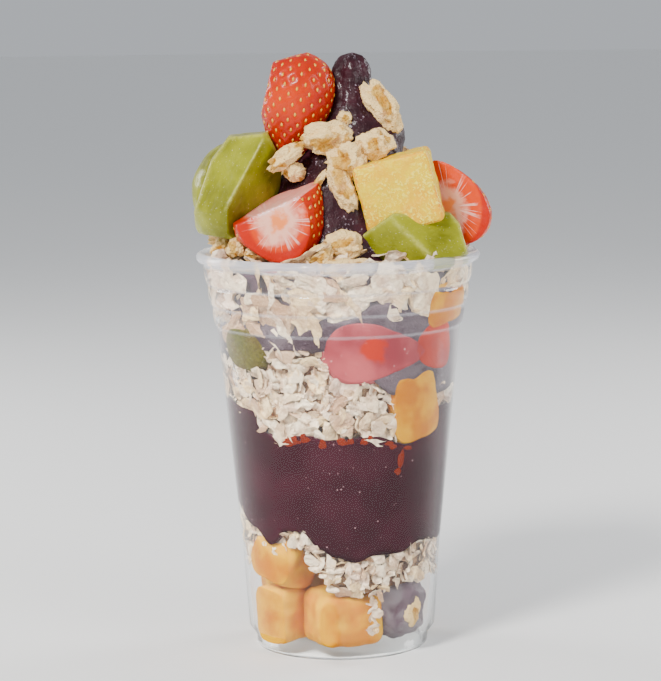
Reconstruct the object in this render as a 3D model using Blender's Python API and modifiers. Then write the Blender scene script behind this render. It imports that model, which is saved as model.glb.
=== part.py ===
"""Acai cup: a tall clear cup filled in layers, heaped with fruit, coated cereal and a peak of acai.

Metres, +Z up. The origin is the middle of the cup's foot, where it stands; -Y is the front.
An azimuth is in degrees round the cup: 0 at the front, growing towards +X.
"""
from math import acos, atan2, cos, degrees, pi, radians, sin

import bmesh
import bpy
from mathutils import Matrix, Vector, noise

# The cup: a thin wall on a hollow foot ring, with three stacking beads under a rolled rim
CUP_STEPS = 28
WALL = 0.0007
FLOOR_TOP = 0.0036
FLOOR_UNDER = 0.0028
FOOT_TOP = (0.0327, 0.0072)
WALL_KNEE = (0.0346, 0.0360)
WALL_TOP = (0.0424, 0.1130)
FOOT_OUTSIDE = [(0.0303, 0.0040), (0.0301, 0.0008), (0.0296, 0.0), (0.0276, 0.0), (0.0268, FLOOR_UNDER)]
FOOT_INSIDE = [(0.0274, FLOOR_TOP), (0.0282, 0.0008), (0.0292, 0.0008), (0.0296, 0.0042)]
BEADS = [
    # radius and height of a bead's foot, then of its top
    ((0.0424, 0.1130), (0.0439, 0.1202)),
    ((0.0439, 0.1202), (0.0454, 0.1276)),
    ((0.0450, 0.1276), (0.0469, 0.1348)),
]
BEAD_STEPS = 2
RIM_RADIUS = 0.0475
RIM_HEIGHT = 0.1369
RIM_TUBE = 0.0017
RIM_STEPS = 5
RIM_ARC = (200, -60)

# What touches the cup or its neighbour keeps this far from it
GAP = 0.0006
LAYER_GAP = 0.0006
CLEARANCE = 0.0005
MERGE = 0.000005
FLAT_ANGLE = radians(0.6)
ROOM_RADIUS = 0.080
ROOM_HEIGHT = 0.250

# Layers: (azimuth, height) along each edge where it meets the wall, and its height in the middle
LAYER_SIDES = 24
LAYER_RINGS = 6
LOWER_FOOT = [
    (-150, 0.026), (-100, 0.028), (-70, 0.032), (-45, 0.036), (-33, 0.0415), (-21, 0.038), (-10, 0.028),
    (2, 0.0240), (16, 0.0235), (36, 0.0250), (64, 0.027), (100, 0.024), (140, 0.026),
]
LOWER_FOOT_MIDDLE = 0.0250
ACAI_FOOT = [
    (-160, 0.042), (-120, 0.046), (-82, 0.0515), (-57, 0.0449), (-44, 0.0397), (-33, 0.0455),
    (-23, 0.0457), (-12, 0.0397), (-4, 0.0369), (8, 0.0350), (19, 0.0371), (35, 0.0371),
    (50, 0.0402), (73, 0.0387), (105, 0.043), (140, 0.036),
]
ACAI_FOOT_MIDDLE = 0.042
ACAI_TOP = [
    (-160, 0.080), (-120, 0.084), (-77, 0.0890), (-50, 0.0867), (-43, 0.0796), (-32, 0.0768),
    (-20, 0.0794), (-3, 0.0776), (17, 0.0788), (38, 0.0748), (44, 0.0795), (60, 0.0868),
    (90, 0.0880), (125, 0.079), (155, 0.085),
]
ACAI_TOP_MIDDLE = 0.082
MIDDLE_TOP = [
    (-160, 0.104), (-115, 0.100), (-58, 0.1069), (-23, 0.1089), (-9, 0.1092), (3, 0.1030),
    (14, 0.0986), (27, 0.0928), (38, 0.0885), (60, 0.0915), (90, 0.095), (130, 0.106), (165, 0.098),
]
MIDDLE_TOP_MIDDLE = 0.100
UPPER_FOOT = [
    (-160, 0.120), (-110, 0.114), (-70, 0.112), (-40, 0.1135), (-22, 0.113), (-10, 0.116),
    (2, 0.118), (20, 0.1245), (35, 0.120), (50, 0.1285), (80, 0.122), (125, 0.117),
]
UPPER_FOOT_MIDDLE = 0.118
UPPER_TOP = [(-160, 0.133), (-60, 0.1345), (0, 0.1335), (60, 0.134), (120, 0.1345)]
UPPER_CREST = (0.84, 0.0035)

# The soft mound of acai over the rim: height, radius and sideways lean of each level, then its tip
MOUND = [
    (0.128, 0.0370, 0.0), (0.138, 0.0315, 0.0005), (0.150, 0.0260, 0.001), (0.161, 0.0225, 0.001),
    (0.171, 0.0188, 0.0040), (0.180, 0.0150, 0.0075), (0.188, 0.0105, 0.006), (0.196, 0.0076, 0.005),
    (0.203, 0.0056, 0.0055),
]
MOUND_TIP = (0.0057, 0.0, 0.2070)
MOUND_WAVE = 0.0008
MOUND_WAVES = 5

# Fruit: kind, half sizes, middle, direction of its long axis (a berry's runs from crown to tip)
# and the knife cuts, each a direction and its depth from the middle
BERRY_TAPER = 0.42
SHOWN_ROUND = (12, 7)
SUNK_ROUND = (9, 6)
CUBE_EDGE = 0.0022
FRONT_FRUIT = {
    "kiwi_right": (
        "kiwi", (0.014, 0.013, 0.022), (0.025, -0.024, 0.143), (0.94, 0.34, 0.02),
        [((-0.30, -0.95, -0.04), 0.0072), ((0.34, -0.76, 0.56), 0.0070), ((-0.575, 0, 0.818), 0.0121),
         ((0.03, 0, 1), 0.0102), ((0.966, 0, 0.26), 0.0174), ((0.747, 0, 0.664), 0.0163),
         ((-0.778, 0, -0.629), 0.0143), ((0, 0, -1), 0.008)],
    ),
    "strawberry_half": (
        "berry", (0.0153, 0.0150, 0.0172), (-0.0175, -0.022, 0.1518), (0.55, 0.05, 0.83),
        [((-0.15, -0.98, 0.12), 0.0104), ((-0.42, -0.10, 0.90), 0.0064), ((-0.55, -0.05, -0.83), 0.0152)],
    ),
    "mango_cube": ("cube", (0.0132, 0.0100, 0.0125), (0.0210, -0.0170, 0.1598), -13.5, []),
    "kiwi_left": (
        "kiwi", (0.0195, 0.0155, 0.0235), (-0.035, -0.009, 0.163), (0.2, 0.05, 1),
        [((-0.565, -0.638, 0.523), 0.0096), ((0.759, -0.607, -0.233), 0.0112),
         ((-0.949, 0, 0.316), 0.0102), ((-1, 0, 0), 0.0138), ((-0.793, 0, 0.609), 0.0111),
         ((-0.119, 0, 0.993), 0.0158), ((0.897, 0, 0.442), 0.0179), ((-0.113, 0, -0.994), 0.0184)],
    ),
    "strawberry_right": (
        "berry", (0.0118, 0.0120, 0.0168), (0.0381, -0.007, 0.1552), (-0.42, 0, 0.91),
        [((-0.30, -0.94, 0.12), 0.0010), ((0.42, 0, -0.91), 0.0158)],
    ),
    "strawberry_top": (
        "berry", (0.0127, 0.0120, 0.0205), (-0.0143, -0.005, 0.1872), (-0.154, -0.08, -0.98),
        [((-0.971, 0, 0.239), 0.0110), ((-0.268, 0, 0.963), 0.0180)],
    ),
}
BACK_FRUIT = {
    "kiwi_back": (
        "kiwi", (0.016, 0.014, 0.017), (-0.0362, 0.017, 0.1595), (0.3, -0.2, 0.9),
        [((0.2, 0.9, 0.4), 0.0100), ((-0.6, 0.5, 0.6), 0.0125), ((-1, 0, 0), 0.0152), ((0, 0, -1), 0.0110)],
    ),
    "strawberry_back": (
        "berry", (0.0145, 0.0140, 0.0180), (0.0200, 0.026, 0.151), (0.6, 0.1, 0.75),
        [((0.15, 0.95, 0.25), 0.0060)],
    ),
    "mango_back": ("cube", (0.0115, 0.0105, 0.0120), (-0.0070, 0.028, 0.1530), 24, []),
    "strawberry_back_high": (
        "berry", (0.0115, 0.0110, 0.0160), (0.0040, 0.016, 0.176), (0.35, 0.15, -0.9),
        [((0.1, 0.7, 0.7), 0.0085)],
    ),
    "kiwi_back_right": (
        "kiwi", (0.012, 0.011, 0.015), (0.0365, 0.014, 0.149), (0.2, 0.9, 0.3),
        [((0.8, 0.5, 0.3), 0.0085), ((0, 0.3, 0.95), 0.0090)],
    ),
}
WALL_FRUIT = {
    "strawberry_wall": (
        "berry", (0.0115, 0.0120, 0.0190), (0.0115, -0.0320, 0.1085), (0.93, 0.28, -0.08),
        [((0, 0, 1), 0.0100)],
    ),
    "strawberry_wall_right": (
        "berry", (0.0100, 0.0100, 0.0125), (0.0290, -0.0200, 0.1075), (0.4, 0.5, -0.7), [],
    ),
    "kiwi_wall_left": (
        "kiwi", (0.009, 0.009, 0.012), (-0.0290, -0.0215, 0.1085), (-0.5, 0.8, 0.1),
        [((0, 0, 1), 0.0065)],
    ),
    "mango_wall_low": ("cube", (0.0100, 0.0085, 0.0130), (0.0225, -0.0245, 0.0890), -14, []),
    "mango_wall_high": ("cube", (0.0120, 0.0080, 0.0078), (0.0320, -0.0190, 0.1225), -12, []),
    "mango_wall_back": ("cube", (0.0110, 0.0090, 0.0095), (0.0100, 0.0330, 0.1130), 18, []),
    "strawberry_wall_back": (
        "berry", (0.0110, 0.0110, 0.0150), (-0.0240, 0.0260, 0.1075), (0.7, 0.6, 0.2), [],
    ),
    "kiwi_wall_back": (
        "kiwi", (0.009, 0.010, 0.012), (0.0330, 0.0130, 0.1060), (0.2, 0.5, 0.8), [((0, 0, 1), 0.0090)],
    ),
    "mango_base_front": ("cube", (0.0118, 0.0110, 0.0094), (0.0000, -0.0200, 0.0136), 0, []),
    "mango_base_left": ("cube", (0.0078, 0.0100, 0.0100), (-0.0205, -0.0155, 0.0142), 0, []),
    "mango_base_upper": ("cube", (0.0100, 0.0095, 0.0085), (-0.0195, -0.0165, 0.0335), 22, []),
    "mango_base_back_left": ("cube", (0.0105, 0.0100, 0.0100), (-0.0160, 0.0130, 0.0145), -6, []),
    "mango_base_back_right": ("cube", (0.0115, 0.0095, 0.0095), (0.0100, 0.0170, 0.0145), 8, []),
}
CUBE_TURNS = {"mango_base_front": 24, "mango_base_left": -38, "mango_base_upper": -40, "mango_wall_low": 42,
               "mango_wall_high": 60, "mango_wall_back": 163, "mango_back": 20, "mango_cube": -4,
               "mango_base_back_left": 40, "mango_base_back_right": -30}

# The smear of acai on the wall at the foot, as half sizes and middle
SMEAR = ((0.0110, 0.0085, 0.0115), (0.0180, -0.0160, 0.0165))

# Coated cereal: half sizes, middle and turn about the front-to-back line in degrees
CEREAL_ROUGHNESS = 0.30
CEREAL = {
    "cereal_big": ((0.0081, 0.0050, 0.0056), (-0.0036, -0.0180, 0.1786), -8),
    "cereal_white": ((0.0064, 0.0058, 0.0062), (0.0030, -0.0195, 0.1700), 0),
    "cereal_peak": ((0.0048, 0.0040, 0.0090), (0.0151, -0.0080, 0.1885), -35),
    "cereal_cluster": ((0.0062, 0.0045, 0.0050), (0.0128, -0.0170, 0.1763), -20),
    "cereal_long": ((0.0068, 0.0030, 0.0028), (-0.0176, -0.0185, 0.1721), -36),
    "cereal_almond": ((0.0037, 0.0036, 0.0075), (0.0016, -0.0235, 0.1612), -24),
    "cereal_rim_middle": ((0.0060, 0.0048, 0.0046), (0.0019, -0.0330, 0.1434), 0),
    "cereal_rim_left": ((0.0060, 0.0030, 0.0036), (-0.0070, -0.0375, 0.1390), -42),
    "cereal_rim_front": ((0.0085, 0.0036, 0.0030), (0.0040, -0.0400, 0.1365), 0),
    "cereal_rim_side": ((0.0040, 0.0050, 0.0046), (-0.0395, -0.0120, 0.1395), 20),
    "mango_dried": ((0.0050, 0.0045, 0.0035), (-0.0395, -0.0060, 0.1440), 0),
    "cereal_back_high": ((0.0070, 0.0045, 0.0050), (0.0120, 0.0150, 0.1900), 30),
    "cereal_back_middle": ((0.0075, 0.0050, 0.0050), (-0.0130, 0.0190, 0.1710), -15),
    "cereal_back_left": ((0.0060, 0.0045, 0.0050), (-0.0210, 0.0260, 0.1600), 25),
    "cereal_back_right": ((0.0060, 0.0045, 0.0045), (0.0200, 0.0170, 0.1680), -30),
    "cereal_back_rim": ((0.0080, 0.0050, 0.0045), (0.0080, 0.0390, 0.1410), 10),
}

COLOURS = {
    # red, green, blue, alpha and roughness
    "cup": (0.86, 0.90, 0.92, 0.30, 0.10),
    "acai": (0.07, 0.03, 0.06, 1.0, 0.45),
    "flakes": (0.76, 0.66, 0.50, 1.0, 0.80),
    "cereal": (0.80, 0.70, 0.52, 1.0, 0.75),
    "mango": (0.85, 0.50, 0.06, 1.0, 0.35),
    "strawberry": (0.72, 0.08, 0.04, 1.0, 0.30),
    "kiwi": (0.36, 0.38, 0.06, 1.0, 0.30),
}


def clear_scene():
    for item in list(bpy.data.objects):
        bpy.data.objects.remove(item, do_unlink=True)


def make_collection(name):
    collection = bpy.data.collections.new(name)
    bpy.context.scene.collection.children.link(collection)
    return collection


def make_material(name):
    """A plain finish named for its piece; the first word of the piece's name picks the colour."""
    *colour, roughness = COLOURS[name.split("_")[0]]
    material = bpy.data.materials.new(name)
    material.use_nodes = True
    shader = material.node_tree.nodes["Principled BSDF"]
    shader.inputs["Base Color"].default_value = colour
    shader.inputs["Alpha"].default_value = colour[3]
    shader.inputs["Roughness"].default_value = roughness
    shader.inputs["Metallic"].default_value = 0.0
    return material


def make_object(name, bm, collection):
    """Turn a bmesh into a named object with its faces pointing out."""
    bmesh.ops.recalc_face_normals(bm, faces=bm.faces[:])
    mesh = bpy.data.meshes.new(name)
    bm.to_mesh(mesh)
    bm.free()
    item = bpy.data.objects.new(name, mesh)
    collection.objects.link(item)
    return item


def make_turned(name, outline, collection):
    """Spin an outline of (radius, height) points, which runs down its outer side, round the Z axis."""
    mesh = bpy.data.meshes.new(name)
    points = [(radius, 0, height) for radius, height in outline]
    mesh.from_pydata(points, [(i, i + 1) for i in range(len(points) - 1)], [])
    item = bpy.data.objects.new(name, mesh)
    collection.objects.link(item)
    screw = item.modifiers.new("Turn", "SCREW")
    screw.angle = 2 * pi
    screw.steps = CUP_STEPS
    screw.render_steps = CUP_STEPS
    screw.use_merge_vertices = True
    screw.merge_threshold = MERGE
    return item


# ---------------------------------------------------------------- the cup

def inner_wall():
    """Corners of the cup's inner wall, from the foot to just under the rim."""
    chords = [FOOT_TOP, WALL_KNEE, WALL_TOP] + [top for _, top in BEADS]
    return [(radius - WALL, height) for radius, height in chords]


def inner_radius(height):
    """Radius of the inner wall at a height, held level past its ends."""
    corners = inner_wall()
    for (r0, z0), (r1, z1) in zip(corners, corners[1:]):
        if height <= z1:
            return r0 + (r1 - r0) * max(0.0, (height - z0) / (z1 - z0))
    return corners[-1][0]


def bead_points(foot, top):
    """A bead's outside, from its upright top down and in to its foot, as a quarter of an ellipse."""
    points = []
    for step in range(BEAD_STEPS + 1):
        turn = pi / 2 * (1 - step / BEAD_STEPS)
        radius = foot[0] + (top[0] - foot[0]) * sin(turn)
        points.append((radius, foot[1] + (top[1] - foot[1]) * (1 - cos(turn))))
    return points


def rim_points():
    start, end = (radians(angle) for angle in RIM_ARC)
    turns = [start + (end - start) * step / RIM_STEPS for step in range(RIM_STEPS + 1)]
    return [(RIM_RADIUS + RIM_TUBE * cos(turn), RIM_HEIGHT + RIM_TUBE * sin(turn)) for turn in turns]


def make_cup(collection):
    """One clear shell: up the inside, over the rolled rim, down the beads and wall, under the foot."""
    outline = [(0, FLOOR_TOP)] + FOOT_INSIDE + inner_wall() + rim_points()
    lowest = None
    for foot, top in reversed(BEADS):
        points = bead_points(foot, top)
        outline += points[1:] if points[0] == lowest else points
        lowest = points[-1]
    outline += [WALL_KNEE, FOOT_TOP] + FOOT_OUTSIDE + [(0, FLOOR_UNDER)]
    cup = make_turned("cup", outline, collection)
    cup.data.materials.append(make_material("cup"))
    return cup


def make_room(collection):
    """A cutter that fills the space for food: inside the cup and above its rim, a gap away from it."""
    rim_top = RIM_HEIGHT + RIM_TUBE + GAP
    wall = [(radius - GAP, height) for radius, height in inner_wall()]
    floor = [(0, FLOOR_TOP + GAP), (FOOT_INSIDE[0][0], FLOOR_TOP + GAP)]
    above = [(RIM_RADIUS - RIM_TUBE - GAP, RIM_HEIGHT), (RIM_RADIUS - RIM_TUBE / 2, rim_top),
             (ROOM_RADIUS, rim_top), (ROOM_RADIUS, ROOM_HEIGHT), (0, ROOM_HEIGHT)]
    return make_cutter(make_turned("room", (floor + wall + above)[::-1], collection))


def make_cutter(item):
    item.display_type = "WIRE"
    item.hide_render = True
    return item


# ---------------------------------------------------------------- layers

def edge_height(edge, azimuth):
    """Height of a wavy edge at an azimuth, eased between its points and closed round the cup."""
    first = edge[0][0]
    azimuth = first + (azimuth - first) % 360
    points = edge + [(first + 360, edge[0][1])]
    for (a0, z0), (a1, z1) in zip(points, points[1:]):
        if azimuth <= a1:
            share = (1 - cos(pi * (azimuth - a0) / (a1 - a0))) / 2
            return z0 + (z1 - z0) * share
    return points[-1][1]


def surface(edge, middle, lift):
    """The height of a layer's face by azimuth and share of the radius, from its edge and its middle."""
    return lambda azimuth, share: middle + (edge_height(edge, azimuth) - middle) * share ** 2 + lift


def on_wall(azimuth, share, height):
    """A point at a share of the way from the cup's axis to its wall."""
    reach = share * (inner_radius(height) - GAP)
    return Vector((reach * sin(radians(azimuth)), -reach * cos(radians(azimuth)), height))


def make_spread(name, rings, place, collection):
    """A closed form: a ball whose rings, counted from its bottom, are laid out by place(ring, azimuth)."""
    bm = bmesh.new()
    bmesh.ops.create_uvsphere(bm, u_segments=LAYER_SIDES, v_segments=rings, radius=1)
    for vert in bm.verts:
        ring = round(rings * acos(max(-1.0, min(1.0, -vert.co.z))) / pi)
        vert.co = place(ring, degrees(atan2(vert.co.x, -vert.co.y)))
    # Each warped face splits along its shorter diagonal, so that touching layers bend alike
    bmesh.ops.triangulate(bm, faces=bm.faces, quad_method="SHORT_EDGE")
    item = make_object(name, bm, collection)
    item.data.materials.append(make_material(name))
    return item


def make_layer(name, low, high, collection):
    """A layer that fills the cup from side to side between two wavy faces."""
    half = LAYER_RINGS // 2

    def place(ring, azimuth):
        share = min(1.0, (half - abs(ring - half)) / (half - 1))
        if ring == half:
            return on_wall(azimuth, 1, (low(azimuth, 1) + high(azimuth, 1)) / 2)
        face = low if ring < half else high
        return on_wall(azimuth, share, face(azimuth, share))

    return make_spread(name, LAYER_RINGS, place, collection)


def make_mound(collection):
    """The upper acai: spread to the wall over the middle flakes, then heaped to a leaning soft peak."""
    low = surface(MIDDLE_TOP, MIDDLE_TOP_MIDDLE, LAYER_GAP / 2)
    high = surface(UPPER_FOOT, UPPER_FOOT_MIDDLE, -LAYER_GAP / 2)
    half = LAYER_RINGS // 2
    rings = half + 2 + len(MOUND)

    def place(ring, azimuth):
        if ring < half:
            share = ring / (half - 1)
            return on_wall(azimuth, share, low(azimuth, share))
        if ring == half:
            return on_wall(azimuth, 1, (low(azimuth, 1) + high(azimuth, 1)) / 2)
        if ring == half + 1:
            return on_wall(azimuth, 1, high(azimuth, 1))
        if ring == rings:
            return Vector(MOUND_TIP)
        return on_mound(ring - half - 2, azimuth, 0)

    return make_spread("acai_upper", rings, place, collection)


def on_mound(level, azimuth, lift):
    """A point of the mound's side, or one lifted off it outwards and upwards."""
    height, radius, lean = MOUND[level]
    radius += MOUND_WAVE * sin(radians(MOUND_WAVES * azimuth) + level) + lift
    return Vector((lean + radius * sin(radians(azimuth)), -radius * cos(radians(azimuth)), height + lift))


def make_upper_flakes(collection):
    """The flakes under the rim: a ring between the wall and the mound, as a torus laid out anew."""
    section = [
        lambda azimuth: on_wall(azimuth, 1, edge_height(UPPER_TOP, azimuth)),
        lambda azimuth: on_wall(azimuth, UPPER_CREST[0], edge_height(UPPER_TOP, azimuth) + UPPER_CREST[1]),
        lambda azimuth: on_mound(1, azimuth, LAYER_GAP),
        lambda azimuth: on_mound(0, azimuth, LAYER_GAP),
        lambda azimuth: on_wall(azimuth, 1, edge_height(UPPER_FOOT, azimuth) + LAYER_GAP / 2),
    ]
    bpy.ops.mesh.primitive_torus_add(major_segments=LAYER_SIDES, minor_segments=len(section),
                                     major_radius=1, minor_radius=0.25)
    item = bpy.context.object
    item.name = item.data.name = "flakes_upper"
    for vert in item.data.vertices:
        turn = atan2(vert.co.z, vert.co.xy.length - 1) % (2 * pi)
        corner = round(turn / (2 * pi) * len(section)) % len(section)
        vert.co = section[corner](degrees(atan2(vert.co.x, -vert.co.y)))
    for owner in item.users_collection:
        owner.objects.unlink(item)
    collection.objects.link(item)
    item.data.materials.append(make_material("flakes_upper"))
    return item


# ---------------------------------------------------------------- fruit and cereal

def knife(bm, point, normal):
    """Slice off what lies beyond a plane and close the cut."""
    geometry = bm.verts[:] + bm.edges[:] + bm.faces[:]
    cut = bmesh.ops.bisect_plane(bm, geom=geometry, dist=MERGE / 2, plane_co=point, plane_no=normal,
                                 clear_outer=True)
    edges = [item for item in cut["geom_cut"] if isinstance(item, bmesh.types.BMEdge)]
    bmesh.ops.holes_fill(bm, edges=edges, sides=0)


def place_verts(bm, half_sizes, middle, turn):
    bmesh.ops.scale(bm, vec=half_sizes, verts=bm.verts)
    bmesh.ops.transform(bm, matrix=Matrix.Translation(middle) @ turn.to_4x4(), verts=bm.verts)


def make_fruit(name, recipe, roundness, collection):
    """A chunk of fruit: a cube with its edges taken off, a berry or a peeled kiwi, cut by the knife."""
    kind, half_sizes, middle, pose, cuts = recipe
    bm = bmesh.new()
    if kind == "cube":
        bmesh.ops.create_cube(bm, size=2)
        turn = Matrix.Rotation(radians(pose), 3, "Y") @ Matrix.Rotation(radians(CUBE_TURNS[name]), 3, "Z")
        place_verts(bm, half_sizes, middle, turn)
        bmesh.ops.bevel(bm, geom=bm.edges[:], offset=CUBE_EDGE, offset_type="OFFSET", segments=1,
                        profile=0.5, affect="EDGES", material=-1)
    else:
        bmesh.ops.create_uvsphere(bm, u_segments=roundness[0], v_segments=roundness[1],
                                  radius=1)
        if kind == "berry":
            for vert in bm.verts:
                swell = 1 - BERRY_TAPER * vert.co.z
                vert.co.x *= swell
                vert.co.y *= swell
        place_verts(bm, half_sizes, middle, Vector(pose).to_track_quat("Z", "Y").to_matrix())
    for direction, depth in cuts:
        normal = Vector(direction).normalized()
        knife(bm, Vector(middle) + normal * depth, normal)
    item = make_object(name, bm, collection)
    item.data.materials.append(make_material(name))
    return item


def make_lump(name, half_sizes, middle, turn_degrees, collection):
    """A knobbly lump, such as a piece of coated cereal."""
    bm = bmesh.new()
    bmesh.ops.create_icosphere(bm, subdivisions=2, radius=1)
    offset = Vector(middle) * 1000
    for vert in bm.verts:
        vert.co *= 1 + CEREAL_ROUGHNESS * noise.noise(vert.co * 1.3 + offset)
    place_verts(bm, half_sizes, middle, Matrix.Rotation(radians(turn_degrees), 3, "Y"))
    item = make_object(name, bm, collection)
    item.data.materials.append(make_material(name))
    return item


# ---------------------------------------------------------------- fitting pieces to each other

def bounds(item):
    points = [vert.co for vert in item.data.vertices]
    low = Vector([min(point[axis] for point in points) for axis in range(3)])
    high = Vector([max(point[axis] for point in points) for axis in range(3)])
    return low, high


def near(one, other):
    """Whether two pieces' boxes come within the clearance of each other."""
    (low_a, high_a), (low_b, high_b) = bounds(one), bounds(other)
    reach = 2 * CLEARANCE
    return all(low_a[i] - reach < high_b[i] and low_b[i] - reach < high_a[i] for i in range(3))


def leaves_room(item):
    """Whether a piece crosses the cup's wall or rim."""
    rim_top = RIM_HEIGHT + RIM_TUBE + GAP
    for vert in item.data.vertices:
        radius = vert.co.xy.length
        reach = inner_radius(vert.co.z) - GAP + MERGE
        if vert.co.z < rim_top and (radius > reach or vert.co.z < FLOOR_TOP + GAP - MERGE):
            return True
    return False


def add_boolean(item, operation, cutter):
    boolean = item.modifiers.new(operation.title(), "BOOLEAN")
    boolean.operation = operation
    boolean.solver = "EXACT"
    boolean.object = cutter


def make_clearance(item, collection):
    """A cutter a little fatter than a piece's whole form, which leaves a gap round it."""
    cutter = bpy.data.objects.new(item.name + "_clearance", item.data.copy())
    collection.objects.link(cutter)
    cutter.modifiers.new("Triangles", "TRIANGULATE")
    swell = cutter.modifiers.new("Swell", "DISPLACE")
    swell.strength = CLEARANCE
    swell.mid_level = 0
    return make_cutter(cutter)


def largest_body(bm):
    """The faces of the largest separate body in a bmesh."""
    bodies, seen = [], set()
    for start in bm.faces:
        if start in seen:
            continue
        body, queue = [], [start]
        seen.add(start)
        while queue:
            face = queue.pop()
            body.append(face)
            for neighbour in (other for edge in face.edges for other in edge.link_faces):
                if neighbour not in seen:
                    seen.add(neighbour)
                    queue.append(neighbour)
        bodies.append(body)
    return max(bodies, key=len)


def settle(item):
    """Apply the cuts and drop crumbs that they left apart from the piece."""
    evaluated = item.evaluated_get(bpy.context.evaluated_depsgraph_get())
    mesh = bpy.data.meshes.new_from_object(evaluated)
    item.modifiers.clear()
    bm = bmesh.new()
    bm.from_mesh(mesh)
    kept = set(largest_body(bm))
    bmesh.ops.delete(bm, geom=[face for face in bm.faces if face not in kept], context="FACES")
    bmesh.ops.remove_doubles(bm, verts=bm.verts, dist=MERGE)
    bmesh.ops.dissolve_degenerate(bm, edges=bm.edges, dist=MERGE)
    bmesh.ops.dissolve_limit(bm, angle_limit=FLAT_ANGLE, verts=bm.verts, edges=bm.edges)
    bmesh.ops.triangulate(bm, faces=bm.faces)
    bm.to_mesh(mesh)
    bm.free()
    item.data = mesh


def fit(pieces, placed, room, cutters):
    """Cut each piece to the cup's room and to clear those already placed, then count it as placed."""
    for piece in pieces:
        clearance = make_clearance(piece, cutters)
        if leaves_room(piece):
            add_boolean(piece, "INTERSECT", room)
        for other, other_clearance in placed:
            if near(piece, other):
                add_boolean(piece, "DIFFERENCE", other_clearance)
        if piece.modifiers:
            settle(piece)
        placed.append((piece, clearance))


def make_layers(collection):
    """The layers from the foot up, each with its own gap to the next."""
    gap = LAYER_GAP / 2
    return [
        make_layer("flakes_lower", surface(LOWER_FOOT, LOWER_FOOT_MIDDLE, 0),
                   surface(ACAI_FOOT, ACAI_FOOT_MIDDLE, -gap), collection),
        make_layer("acai_main", surface(ACAI_FOOT, ACAI_FOOT_MIDDLE, gap),
                   surface(ACAI_TOP, ACAI_TOP_MIDDLE, -gap), collection),
        make_layer("flakes_middle", surface(ACAI_TOP, ACAI_TOP_MIDDLE, gap),
                   surface(MIDDLE_TOP, MIDDLE_TOP_MIDDLE, -gap), collection),
        make_mound(collection),
        make_upper_flakes(collection),
    ]


def main():
    clear_scene()
    parts = make_collection("acai_cup")
    cutters = make_collection("cutters")
    make_cup(parts)
    room = make_room(cutters)
    sunk = [make_fruit(name, recipe, SUNK_ROUND, parts) for name, recipe in WALL_FRUIT.items()]
    sunk.append(make_lump("acai_base", *SMEAR, 0, parts))
    layers = make_layers(parts)
    toppings = [make_fruit(name, recipe, SHOWN_ROUND, parts) for name, recipe in FRONT_FRUIT.items()]
    toppings += [make_fruit(name, recipe, SUNK_ROUND, parts) for name, recipe in BACK_FRUIT.items()]
    toppings += [make_lump(name, *recipe, parts) for name, recipe in CEREAL.items()]
    placed = []
    fit(sunk, placed, room, cutters)
    for layer in layers:
        placed_layer = list(placed[:len(sunk)])
        fit([layer], placed_layer, room, cutters)
        placed.append(placed_layer[-1])
    fit(toppings, placed, room, cutters)


if __name__ == "__main__":
    main()
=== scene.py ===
"""Looks of the acai cup: clear plastic, layers of acai and flakes, cut fruit, coated cereal and the stage.

Metres, +Z up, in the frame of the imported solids. -Y is the front. An azimuth is in degrees round the cup:
0 at the front, growing towards +X.
"""
from math import acos, atan2, cos, degrees, exp, hypot, pi, radians, sin, sqrt
from random import Random

import bmesh
import bpy
from bpy.props import FloatProperty, FloatVectorProperty, PointerProperty
from mathutils import Euler, Matrix, Vector, noise
from mathutils.kdtree import KDTree


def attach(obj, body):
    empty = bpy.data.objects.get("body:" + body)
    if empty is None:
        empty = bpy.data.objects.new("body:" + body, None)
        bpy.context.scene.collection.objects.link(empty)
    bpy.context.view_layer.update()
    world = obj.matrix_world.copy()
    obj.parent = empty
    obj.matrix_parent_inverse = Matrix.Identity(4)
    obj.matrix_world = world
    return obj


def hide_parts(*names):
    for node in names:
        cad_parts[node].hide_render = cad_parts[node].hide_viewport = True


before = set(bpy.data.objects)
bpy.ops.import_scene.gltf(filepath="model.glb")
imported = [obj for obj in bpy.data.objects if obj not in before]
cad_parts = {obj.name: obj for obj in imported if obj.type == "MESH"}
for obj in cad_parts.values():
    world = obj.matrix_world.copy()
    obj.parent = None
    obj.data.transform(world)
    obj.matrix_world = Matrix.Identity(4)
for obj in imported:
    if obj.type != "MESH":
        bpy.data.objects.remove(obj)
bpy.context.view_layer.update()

bl_info = {
    "name": "Acai cup",
    "version": (1, 0, 0),
    "blender": (4, 5, 0),
    "location": "View3D > Sidebar > Acai cup",
    "description": "Dresses the packed acai cup: clear plastic, layers, fruit, cereal and stage",
    "category": "Object",
}

# The cup: corners of the straight wall, the beads under the rim, the rim and the hollow foot
CUP_STEPS = 120
WALL = 0.0007
FLOOR_TOP = 0.0036
FLOOR_UNDER = 0.0028
FOOT_TOP = (0.0327, 0.0072)
WALL_KNEE = (0.0346, 0.0360)
WALL_TOP = (0.0424, 0.1130)
FOOT_OUTSIDE = [(0.0303, 0.0040), (0.0301, 0.0010), (0.0297, 0.0002), (0.0293, 0.0), (0.0279, 0.0),
                (0.0273, 0.0006), (0.0268, FLOOR_UNDER)]
FOOT_INSIDE = [(0.0274, FLOOR_TOP), (0.0280, 0.0012), (0.0284, 0.0007), (0.0290, 0.0007), (0.0294, 0.0013),
               (0.0296, 0.0042)]
BEADS = [((0.0424, 0.1130), (0.0439, 0.1202)), ((0.0439, 0.1202), (0.0454, 0.1276)),
         ((0.0450, 0.1276), (0.0469, 0.1348))]
BEAD_STEPS = 7
RIM_RADIUS = 0.0475
RIM_HEIGHT = 0.1369
RIM_TUBE = 0.0017
RIM_STEPS = 14
RIM_ARC = (200, -60)

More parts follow.
